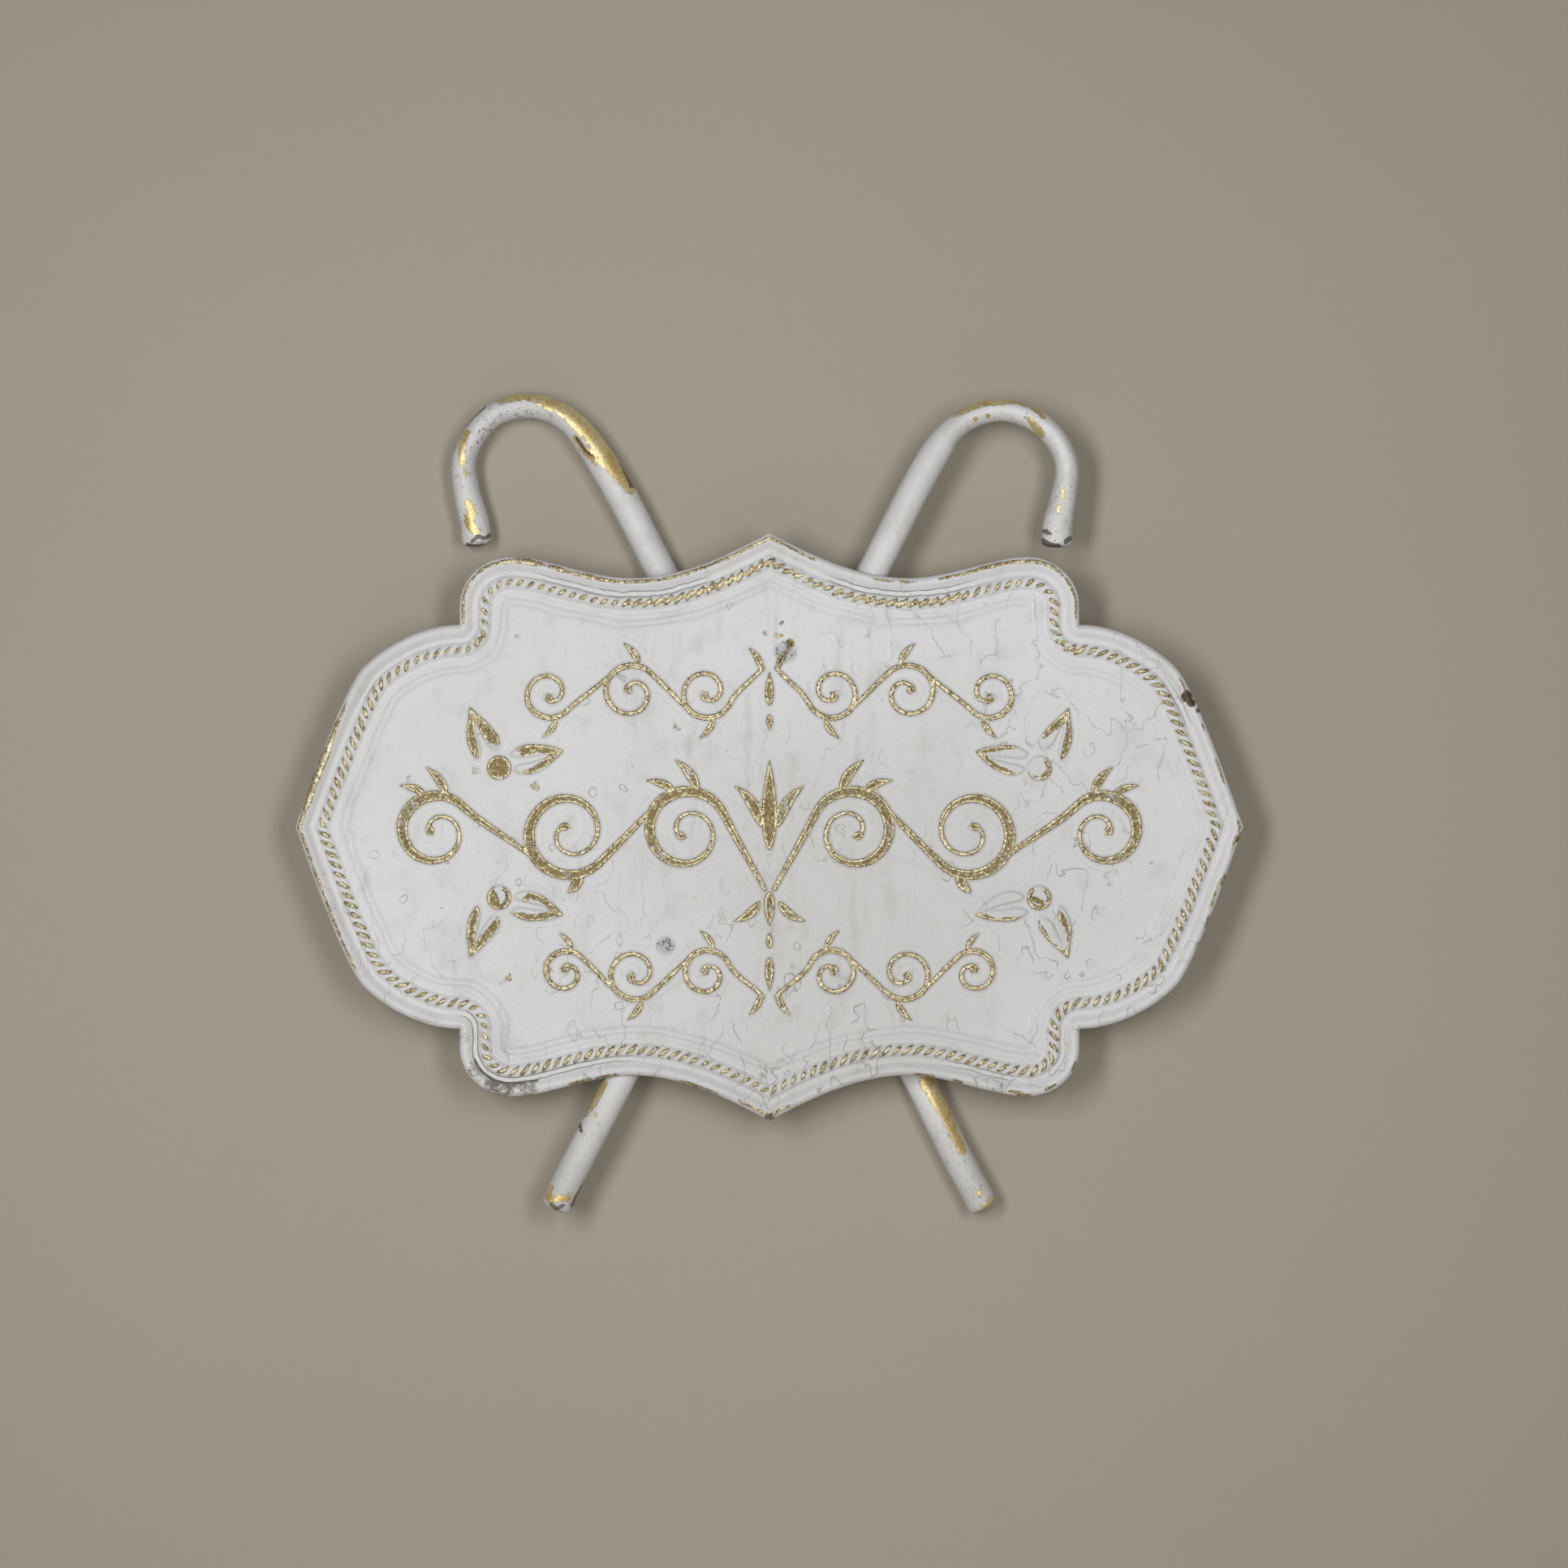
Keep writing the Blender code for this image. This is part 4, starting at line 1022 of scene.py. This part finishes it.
def gridPoints(step, halfWide, halfHigh, jitter):
    x, z = np.meshgrid(np.arange(-halfWide, halfWide, step), np.arange(-halfHigh, halfHigh, step))
    flat = np.stack((x.ravel(), z.ravel()), 1)
    return flat + np.random.default_rng(5).uniform(-jitter, jitter, flat.shape)


panelMarks = {
    # burnt-through marks of the welds behind: x, z, reach
    "burns": ((9.9, 106.5, 9.5), (-63.5, -72.6, 8.0)),
    # small rubbed specks on the field: x, z, reach, strength
    "flecks": (
        (1.5, 129, 2.2, 0.62), (6.4, 124.6, 2.6, 0.66), (-3, 118, 2.4, 0.64), (5.5, 116.7, 2.4, 0.66),
        (12.6, 112.3, 3.0, 1.1), (-143, 25, 4.0, 0.5), (-57, 60, 4.0, 0.5), (-160, -92, 2.2, 0.9),
        (-127, -146, 2.0, 0.6), (-134, -88, 2.5, 0.8),
    ),
}


def panelHeight(points, strokes, distance):
    x, z = points.T
    outside, leaning = strokeDistance(points, strokes)
    up = np.clip((relief["foot"] - outside) / (relief["foot"] + relief["shoulder"]), 0, 1)
    rise = relief["rise"] * np.sin(up * math.pi / 2) ** 1.15
    rise = rise + 0.18 * np.exp(-(((outside + 0.7) / 0.5) ** 2)) * smoothStep(-outside, 0, 0.6)
    rise = rise - 0.18 * np.exp(-((outside - 2.0) ** 2))
    rise = rise + 0.09 * np.exp(-(((outside - 4.3) / 0.7) ** 2))
    inner = smoothStep(distance, 24, 40)
    wavering = 0.7 * wobble(x, z, 34, 14) + 0.3 * wobble(x, z, 11, 15)
    wavering = wavering * smoothStep(distance, 20.6, 23)
    height = baseHeight(np.minimum(distance + wavering, 34)) + rise
    height = height + 0.24 * wobble(x, z, 150, 8) * inner + 0.05 * wobble(x, z, 26, 9)
    height = height + unevenness(x, z) * (1 - inner)
    for bx, bz, reach in panelMarks["burns"]:
        far = np.hypot(x - bx, z - bz) / reach
        height = height + 0.40 * np.exp(-((far / 0.75) ** 4)) * (0.7 + 0.6 * wobble(x, z, 5, 12))
    return height, outside, leaning


panel = {
    "border": 20.1,
    "rows": (21.0, 21.9, 22.8, 23.7, 24.5, 25.2, 25.9, 26.6, 27.3, 28.1, 28.9, 29.6, 30.3, 31.2, 32.4),
    "halfWide": 275,
    "halfHigh": 165,
    # how far apart the loose points are on its front and back
    "front": 3.4,
    "back": 3.1,
}


def panelBorder():
    border = ringAt(panel["border"])[::2]
    border = border[np.linalg.norm(np.roll(border, -1, axis=0) - border, axis=1) > 0.05]
    # a row moved this far in turns back on itself in the sharp corners
    step = np.roll(border, -1, axis=0) - border
    return border[(step * np.roll(step, 1, axis=0)).sum(1) > 0]


def panelPoints(strokes):
    # what its front and its back are meshed from: close rows where it is steep, else loose points
    rows = [row for stroke in strokes for row in rowsBeside(stroke)]
    burnt = [gridPoints(0.7, 9, 9, 0.15) + (bx, bz) for bx, bz, _ in panelMarks["burns"]]
    lobes = [gridPoints(0.9, 40, 40, 0.2) + place[:2] for place in sprig["places"]]
    lobes = [some[strokeDistance(some, sprigs())[0] < -0.6] for some in lobes]
    raised = spread(np.vstack(rows + burnt + lobes), 0.32)
    raised = raised[edgeDistance(raised) > 23]
    steps = spread(np.vstack([ringAt(d)[::2] for d in panel["rows"]]), 0.5)
    loose = gridPoints(panel["front"], panel["halfWide"], panel["halfHigh"], 0.9)
    loose = loose[insidePlate(loose)]
    loose = loose[(edgeDistance(loose) > 33.5) & (strokeDistance(loose, strokes)[0] > 5.4)]
    behind = gridPoints(panel["back"], panel["halfWide"], panel["halfHigh"], 0.4)
    behind = behind[insidePlate(behind)]
    return np.vstack((raised, loose, steps)), behind[edgeDistance(behind) > 21.2]


def panelWear(flat, outside, leaning):
    # rubbed at the strokes' edges most, and painted shade at the foot of their lower right sides
    x, z = flat.T
    edge = 1.15 * (1 - smoothStep(outside, -0.45, 0.60))
    core = smoothStep(outside, -1.35, -0.85)
    # painted shade: darker at the foot of each stroke's lower right side
    foot = (0.80 + 0.35 * wobble(x, z, 7, 23)) * smoothStep(leaning, 0.0, 0.8)
    foot = foot * np.exp(-(((outside - 0.1) / 0.42) ** 2))
    patch = 0.60 + 0.26 * wobble(x, z, 34, 21) + 0.12 * wobble(x, z, 6, 22)
    for bx, bz, sideways, upwards in sprig["places"]:
        notch = np.hypot(x - bx - 0.8 * sideways, z - bz + upwards * 6.6) < 1.5
        edge = np.where(notch, 0, edge)
    rub = edge * (core + (1 - core) * patch)
    # on the sprigs the gold shows along strokes of their own
    onSprig = (strokeDistance(flat, sprigs())[0] < outside + 0.01) & (outside < 6)
    toBare = strokeDistance(flat, [blade(s) for s in sprig["bare"]], 4)[0]
    bare = 1.1 * (1 - smoothStep(toBare, -0.7, 1.0))
    rub = np.where(onSprig, np.minimum(edge, bare), rub)
    foot = np.where(onSprig, foot * np.clip(bare, 0.15, 1), foot)
    burn = np.zeros(len(flat))
    for bx, bz, reach in panelMarks["burns"]:
        burn = np.maximum(burn, 1 - smoothStep(np.hypot(x - bx, z - bz), reach * 0.4, reach))
    return {
        "rub": np.maximum(rub, zones(x, z, panelMarks["flecks"])),
        "grime": np.maximum(zones(x, z, rimWear["groove"]) * 0.1, foot),
        "burn": burn,
        "outside": outside,
    }


def buildPanel(finish):
    strokes = ornament()
    border = panelBorder()
    count = len(border)
    loop = list(range(count - 1, -1, -1))
    points, faces, start = [], [], 0
    data = {key: [] for key in (*sheetAttributes, "burn")}
    for inner, onBack in zip(panelPoints(strokes), (False, True)):
        flat = [Vector(p) for p in np.vstack((border, inner))]
        flat, _, made, _, _, origins = delaunay_2d_cdt(flat, [], [loop], 0, 1e-4, True)
        flat = np.array(flat)
        made = [f for f, origin in zip(made, origins) if origin]
        distance = edgeDistance(flat)
        height, outside, leaning = panelHeight(flat, strokes, distance)
        points.append(toRow(*flat.T, height - sheetSection["thickness"] * onBack))
        faces += [tuple(i + start for i in (reversed(f) if onBack else f)) for f in made]
        start += len(flat)
        wear = {} if onBack else panelWear(flat, outside, leaning)
        noteWear(data, distance, inset=distance, behind=onBack, **wear)
    second = len(points[0])
    for k in range(count):
        j = (k + 1) % count
        faces.append((k, j, j + second, k + second))
    addSheet("pressedPanel", points, faces, finish, data, 75)


# the two canes: centre lines seen from the front, as sideways, rise above the hollow of the
# plate's top or drop below that of its bottom, and how far bending has squeezed the tube
tube = {
    "radius": 9.5,
    "squeezeAcross": 0.28,
    "squeezeDeeper": 0.12,
    "gap": 0.3,
    "sides": 60,
    "spacing": 0.9,
    # drawn in at its ends, inside the caps, and slightly uneven along its length
    "endShare": 0.72,
    "endLength": 3,
    "unevenness": 0.006,
}
canes = {
    "rear": {
        "hook": (
            (-181.3, 23.9, 0.15), (-182.4, 35.0, 0.20), (-187.3, 54.0, 0.50), (-189.2, 73.3, 0.70),
            (-183.1, 88.6, 0.85), (-170.3, 102.4, 0.85), (-152.2, 107.9, 0.68), (-136.0, 105.3, 0.70),
            (-121.8, 96.6, 0.55), (-111.0, 83.7, 0.25), (-92.7, 54.4, 0.00), (-69.0, 8.7, 0.00),
        ),
        "foot": ((90.2, 0.5, 0.0), (116.4, 53.5, 0.0), (126.8, 72.8, 0.0), (131.7, 82.2, 0.0)),
        "bare": (
            ((-166.5, 261.5, 0.8), (-158.8, 263.9, 1.8), (-149.6, 265.2, 2.0), (-138.3, 262.2, 3.9),
             (-129.1, 258.6, 3.9), (-119.9, 250.9, 4.6), (-111.7, 243.8, 5.1), (-104.5, 234.0, 5.1),
             (-99.4, 226.8, 5.1), (-94.3, 219.7, 4.6), (-89.7, 212.5, 3.2), (-86.1, 206.9, 2.0)),
            ((-119.9, 240.1, 0.7), (-114.7, 233.0, 1.7), (-109.6, 228.9, 2.5), (-106.6, 224.3, 1.5)),
            ((-186.5, 242.7, 1.2), (-189.0, 237.3, 2.0), (-189.5, 231.3, 1.7), (-189.3, 224.3, 1.2)),
            ((-187.8, 220.8, 0.4), (-187.1, 217.3, 0.5)),
            ((-185.4, 199.2, 1.7), (-183.9, 193.2, 2.2), (-184.9, 186.9, 2.5), (-181.3, 181.8, 2.0)),
            ((96.7, -157.2, 4.2), (103.0, -167.7, 3.7), (109.4, -179.4, 3.0), (113.6, -189.9, 2.5),
             (118.8, -199.4, 2.2)),
            ((129.4, -225.8, 0.9), (129.9, -227.4, 0.8)),
            ((137.4, -229.5, 1.2), (135.8, -232.2, 2.0), (132.4, -234.0, 1.2)),
        ),
        "dark": (
            ((-187.5, 247.4, 0.4), (-182.3, 253.9, 0.5), (-176.3, 258.6, 0.4)),
            ((-118.9, 239.1, 0.25), (-113.7, 232.0, 0.35), (-108.6, 227.8, 0.2)),
            ((-183.3, 175.6, 0.2), (-178.8, 178.6, 0.4), (-175.8, 177.6, 0.2), (-172.3, 180.6, 0.3)),
            ((-186.3, 173.6, 0.4), (-181.8, 172.3, 0.5), (-176.8, 173.1, 0.3)),
            ((-92.0, 224.8, 0.4), (-88.4, 217.3, 0.4), (-84.9, 209.7, 0.5)),
            ((130.9, -239.5, 0.5), (135.4, -237.0, 0.4), (139.4, -233.0, 0.6)),
        ),
        "specks": (
            (-175, 246, 24, 1.2), (-158, 254, 22, 1.2), (-184, 226, 20, 0.8), (-180, 184, 18, 0.9),
            (-138, 253, 16, 0.5), (112, -196, 16, 0.5), (131, -228, 14, 0.7),
        ),
    },
    "front": {
        "hook": (
            (176.1, 22.0, 0.08), (176.6, 31.4, 0.10), (180.6, 51.5, 0.60), (182.7, 68.0, 0.90),
            (178.1, 82.1, 0.98), (165.4, 95.9, 1.00), (146.3, 103.4, 1.00), (132.6, 102.4, 0.95),
            (120.6, 97.8, 0.85), (111.0, 90.2, 0.65), (103.3, 79.8, 0.18), (93.1, 62.5, 0.02),
            (62.8, 3.0, 0.00),
        ),
        "foot": ((-90.2, 0.0, 0.0), (-114.5, 47.1, 0.0), (-125.8, 69.1, 0.0), (-130.9, 80.8, 0.0)),
        "bare": (
            ((113.6, 252.2, 0.8), (120.8, 255.7, 1.8), (130.9, 259.8, 2.2), (142.1, 260.6, 2.2),
             (153.3, 260.3, 1.2), (158.3, 257.8, 0.6)),
            ((158.3, 249.6, 0.7), (163.3, 244.1, 1.2), (166.8, 240.1, 1.0)),
            ((125.8, 249.6, 0.6), (126.2, 249.1, 0.6)),
            ((133.4, 251.2, 0.5), (133.7, 250.8, 0.5)),
            ((160.3, 256.6, 0.5), (164.8, 253.6, 0.6), (167.8, 250.1, 0.6)),
            ((179.0, 205.3, 0.5), (179.2, 201.3, 0.5)),
            ((176.7, 195.8, 0.6), (176.2, 193.3, 0.5)),
            ((-101.1, -156.7, 1.6), (-105.1, -163.7, 1.7), (-108.3, -170.4, 1.2), (-112.6, -176.6, 0.6)),
            ((-106.2, -175.8, 0.7), (-106.1, -176.8, 0.7)),
            ((-133.5, -220.7, 0.9), (-135.6, -226.9, 1.2)),
            ((-133.5, -228.4, 1.2), (-128.5, -227.4, 1.4), (-123.0, -227.4, 1.3)),
        ),
        "dark": (
            ((167.8, 181.4, 0.5), (171.2, 179.4, 0.7)),
            ((167.3, 175.4, 0.5), (171.2, 172.4, 0.7), (177.2, 171.4, 0.6)),
            ((181.2, 174.4, 0.8), (183.7, 176.4, 0.7)),
            ((-116.6, -182.6, 0.5), (-115.1, -186.1, 0.5)),
            ((-133.5, -230.9, 0.4), (-129.5, -233.4, 0.5), (-126.5, -231.4, 0.4)),
            ((-120.5, -231.9, 0.6), (-118.0, -226.9, 0.5), (-114.6, -220.9, 0.5)),
        ),
        "specks": (
            (162, 250, 16, 0.8), (152, 255, 14, 0.5), (178, 200, 16, 0.5), (174, 178, 14, 0.7),
            (-112, -184, 12, 0.6), (-126, -226, 14, 0.6), (122, 242, 12, 0.4),
        ),
    },
}


def throughPoints(rows, spacing):
    # a smooth line through rows of x, z, squeeze
    rows = np.array(rows, float)
    padded = np.vstack((2 * rows[0] - rows[1], rows, 2 * rows[-1] - rows[-2]))
    knots = np.concatenate(([0], np.cumsum(np.sqrt(np.linalg.norm(np.diff(padded[:, :2], axis=0), axis=1)))))
    line = []
    for i in range(1, len(padded) - 2):
        p, t = padded[i - 1 : i + 3], knots[i - 1 : i + 3]
        count = max(2, round(np.linalg.norm(p[2, :2] - p[1, :2]) / spacing))
        at = np.linspace(t[1], t[2], count, endpoint=False)[:, None]

        def blend(a, b, low, high):
            return (a * (high - at) + b * (at - low)) / (high - low)

        a = [blend(p[k], p[k + 1], t[k], t[k + 1]) for k in range(3)]
        b = [blend(a[k], a[k + 1], t[k], t[k + 2]) for k in range(2)]
        line.append(blend(b[0], b[1], t[1], t[2]))
    return np.vstack(line + [rows[-1:]])


def tubeSizes(side, squeeze):
    wide = tube["radius"] * (1 - tube["squeezeAcross"] * squeeze)
    deep = tube["radius"] * (1 + tube["squeezeDeeper"] * squeeze)
    return wide, deep, -deep if side == "rear" else plateBack / mm + tube["gap"] + deep


def wearOf(cane, x, z, facing):
    # what is rubbed, dirty and speckled, from strokes seen from the front
    flat = np.stack((x, z), 1)
    bare = 1.08 * (1 - smoothStep(strokeDistance(flat, cane["bare"], 4)[0], -1.0, 1.1))
    dark = 1.3 * (1 - smoothStep(strokeDistance(flat, cane["dark"], 4)[0], -0.3, 0.7))
    specks = zones(x, z, cane["specks"])
    return {"rub": bare * facing, "grime": dark * facing, "specks": specks * facing + 0.12}


def caneLine(cane):
    hollow = (plateHigh.z - plateMiddle.z) / mm - plateShape["peakRise"]
    above = [(x, hollow + rise, squeeze) for x, rise, squeeze in cane["hook"]]
    below = [(x, -hollow - drop, squeeze) for x, drop, squeeze in cane["foot"]]
    return throughPoints(above + below, tube["spacing"])


def buildCane(side, finish):
    cane = canes[side]
    cane["bare"], cane["dark"] = ([blade(s) for s in cane[key]] for key in ("bare", "dark"))
    line = caneLine(cane)
    run = np.gradient(line[:, :2], axis=0)
    run /= np.linalg.norm(run, axis=1)[:, None]
    far = np.concatenate(([0], np.cumsum(np.linalg.norm(np.diff(line[:, :2], axis=0), axis=1))))
    toEnd = np.minimum(far, far[-1] - far)
    wide, deep, centreY = tubeSizes(side, line[:, 2])
    taper = tube["endShare"] + (1 - tube["endShare"]) * smoothStep(toEnd, 0, tube["endLength"])
    even = 1 - tube["unevenness"] * (1 + wobble(far, far * 0, 42, 5 if side == "rear" else 6))
    angle = np.linspace(0, 2 * math.pi, tube["sides"], endpoint=False)
    across = np.stack((run[:, 1], -run[:, 0]), 1)
    reach = (wide * taper * even)[:, None] * np.cos(angle)
    x = line[:, :1] + across[:, :1] * reach
    z = line[:, 1:2] + across[:, 1:] * reach
    y = centreY[:, None] + (deep * taper)[:, None] * np.sin(angle)
    facing = smoothStep(-np.sin(angle), -0.45, 0.05)[None] + 0 * x
    data = wearOf(cane, x.ravel(), z.ravel(), facing.ravel())
    points = np.stack((x.ravel() * mm + plateMiddle.x, y.ravel() * mm, z.ravel() * mm + plateMiddle.z), 1)
    faces = ringFaces(len(line), len(angle), False)
    faces += [tuple(range(len(angle))), tuple(range(len(points) - len(angle), len(points)))]
    node = side + "_cane"
    addPiece(side + "CaneTube", points, faces, finish, node, data)
    for end, place, out in (("hook", line[0], -run[0]), ("foot", line[-1], run[-1])):
        buildCap(side, end, place, out, finish)


cap = {"length": 5.0, "beyond": 2.6, "lumps": 0.35, "fullness": 3.2}


def buildCap(side, end, place, out, finish):
    # a lumpy dome where the tube was closed by weld
    wide, deep, centreY = tubeSizes(side, place[2])
    middle = place[:2] - out * (cap["length"] - cap["beyond"])
    bpy.ops.object.select_all(action="DESELECT")
    bpy.ops.mesh.primitive_uv_sphere_add(segments=72, ring_count=40, radius=1)
    dome = bpy.context.active_object
    full = cap["fullness"]
    for v in dome.data.vertices:
        v.co /= (math.hypot(v.co.x, v.co.y) ** full + abs(v.co.z) ** full) ** (1 / full)
    dome.name = side + end.capitalize() + "Cap"
    dome.scale = (wide * 1.012 * mm, deep * 0.995 * mm, cap["length"] * mm)
    dome.rotation_euler = (0, math.atan2(out[0], out[1]), 0)
    dome.location = (middle[0] * mm + plateMiddle.x, centreY * mm, middle[1] * mm + plateMiddle.z)
    bpy.ops.object.transform_apply(location=True, rotation=True, scale=True)
    bpy.ops.object.mode_set(mode="EDIT")
    bpy.ops.mesh.select_all(action="SELECT")
    seed = len(dome.name) + (side == "rear")
    bpy.ops.transform.vertex_random(offset=cap["lumps"] * mm, uniform=0, normal=1, seed=seed)
    bpy.ops.mesh.vertices_smooth(factor=0.5, repeat=3)
    bpy.ops.object.mode_set(mode="OBJECT")
    bpy.ops.object.shade_smooth()
    points = np.array([v.co for v in dome.data.vertices])
    points[:, 1] = np.minimum(points[:, 1], -0.00005)
    dome.data.vertices.foreach_set("co", points.ravel())
    x = (points[:, 0] - plateMiddle.x) / mm
    z = (points[:, 2] - plateMiddle.z) / mm
    facing = smoothStep(centreY - points[:, 1] / mm, -4, 1)
    for key, values in wearOf(canes[side], x, z, facing).items():
        dome.data.attributes.new(key, "FLOAT", "POINT").data.foreach_set("value", values)
    dome.data.materials.append(finish)
    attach(dome, "root")
    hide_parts(f"{side}_cane_{end}_cap")


# welds and standoffs behind the plate, from copies of the CAD bodies
beads = {"voxel": 0.42, "roughness": 0.16, "smoothing": 2}
posts = {"voxel": 0.40, "roughness": 0.03, "smoothing": 4}


def remeshed(node, look, finish):
    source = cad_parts[node]
    piece = bpy.data.objects.new(node + "Body", source.data.copy())
    bpy.context.collection.objects.link(piece)
    pick(piece)
    bpy.ops.object.mode_set(mode="EDIT")
    bpy.ops.mesh.select_all(action="SELECT")
    bpy.ops.mesh.remove_doubles(threshold=1e-6)
    bpy.ops.object.mode_set(mode="OBJECT")
    grid = piece.modifiers.new("grid", "REMESH")
    grid.mode = "VOXEL"
    grid.voxel_size = look["voxel"] * mm
    bpy.ops.object.modifier_apply(modifier=grid.name)
    bpy.ops.object.mode_set(mode="EDIT")
    bpy.ops.mesh.select_all(action="SELECT")
    bpy.ops.transform.vertex_random(offset=look["roughness"] * mm, uniform=0, normal=1, seed=len(node))
    bpy.ops.mesh.vertices_smooth(factor=0.5, repeat=look["smoothing"])
    bpy.ops.object.mode_set(mode="OBJECT")
    bpy.ops.object.shade_smooth()
    piece.data.materials.clear()
    piece.data.materials.append(finish)
    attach(piece, "root")
    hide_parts(node)


plateFinish = whiteOverGold("whiteOverGoldPlate", True)
tubeFinish = whiteOverGold("whiteOverGoldTube", False)
fittings = fittingsFinish()
buildRim(plateFinish)
buildRope(plateFinish)
print("rim and rope done")
buildPanel(plateFinish)
for side in canes:
    buildCane(side, tubeFinish)
print("canes done")
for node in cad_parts:
    if "weld" in node:
        remeshed(node, beads, fittings)
    elif "standoff" in node:
        remeshed(node, posts, fittings)
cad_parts["hanger_strap"].data.materials[0] = fittings
print("fittings done")


# wall, floor, camera and lights
stage = {
    "wallColour": (0.362, 0.326, 0.266),
    "floorColour": (0.56, 0.54, 0.50),
    "wallGap": 6.0,
    "floorZ": -0.95,
    "size": 14.0,
}


def stageFinish(name, colour):
    # seen and lit from its front only, so that the sign can be looked at from behind
    material, start, place = newFinish(name)
    tree = material.node_tree
    grain = place.noise(1100, 2).between(0.25, 0.75) * 0.10 + place.noise(3, 3).between(0.3, 0.7) * 0.05
    fill(material, colour=grain.mix(colour, tuple(c * 0.72 for c in colour)), roughness=0.9)
    shader = tree.nodes["Principled BSDF"]
    shader.inputs["Specular IOR Level"].default_value = 0.15
    turned = start.node("NewGeometry", {}, {}, "Backfacing")
    shadow = start.node("LightPath", {}, {}, "Is Shadow Ray")
    clear = start.node("BsdfTransparent", {}, {})
    opaque = Wire(tree, shader.outputs[0])
    both = start.node("MixShader", {}, {0: turned.largest(shadow), 1: opaque, 2: clear})
    tree.links.new(both.socket, tree.nodes["Material Output"].inputs["Surface"])
    return material


def addStage():
    size = stage["size"]
    for name, colour, place, turn in (
        ("wall", stage["wallColour"], (0, stage["wallGap"] * mm, 0), math.pi / 2),
        ("floor", stage["floorColour"], (0, -size / 2, stage["floorZ"]), 0),
    ):
        bpy.ops.object.select_all(action="DESELECT")
        bpy.ops.mesh.primitive_plane_add(size=size, location=place, rotation=(turn, 0, 0))
        plane = bpy.context.active_object
        plane.name = name
        bpy.ops.object.transform_apply(location=True, rotation=True, scale=True)
        plane.data.materials.append(stageFinish(name + "Paint", colour))


# place, width, height, power
lights = {
    "left": ((-0.60, -1.75, 0.07), 0.36, 1.05, 18.8),
    "right": ((0.48, -1.75, 0.05), 0.36, 1.05, 13.0),
    "behind": ((0.6, 2.4, 1.2), 1.8, 1.8, 10),
}
world = {"colour": (1, 1, 1), "strength": 0.06, "seen": (0.36, 0.33, 0.28)}


def addLights():
    for name, (place, width, height, power) in lights.items():
        bpy.ops.object.light_add(type="AREA", location=place)
        lamp = bpy.context.active_object
        lamp.name = name
        lamp.data.shape = "ELLIPSE"
        lamp.data.size = width
        lamp.data.size_y = height
        lamp.data.energy = power
        aim = Vector((0, 0, plateMiddle.z)) - Vector(place)
        lamp.rotation_euler = aim.to_track_quat("-Z", "Y").to_euler()
    sky = bpy.data.worlds.new("studio")
    bpy.context.scene.world = sky
    sky.use_nodes = True
    tree = sky.node_tree
    light = tree.nodes["Background"]
    light.inputs["Color"].default_value = (*world["colour"], 1)
    light.inputs["Strength"].default_value = world["strength"]
    start = Wire(tree)
    seen = start.node("Background", {}, {"Color": (*world["seen"], 1), "Strength": 1.0})
    ray = start.node("LightPath", {}, {}, "Is Camera Ray")
    both = start.node("MixShader", {}, {0: ray, 1: Wire(tree, light.outputs[0]), 2: seen})
    tree.links.new(both.socket, tree.nodes["World Output"].inputs["Surface"])


camera = {"place": (0.0089, -2.4396, -0.0735), "lens": 90.2}


def addCamera():
    bpy.ops.object.camera_add(location=camera["place"], rotation=(math.pi / 2, 0, 0))
    eye = bpy.context.active_object
    eye.data.lens = camera["lens"]
    eye.data.sensor_width = 36
    bpy.context.scene.camera = eye


addStage()
addLights()
addCamera()
bpy.context.scene.view_settings.view_transform = "Standard"
print("stage, lights and camera in place")
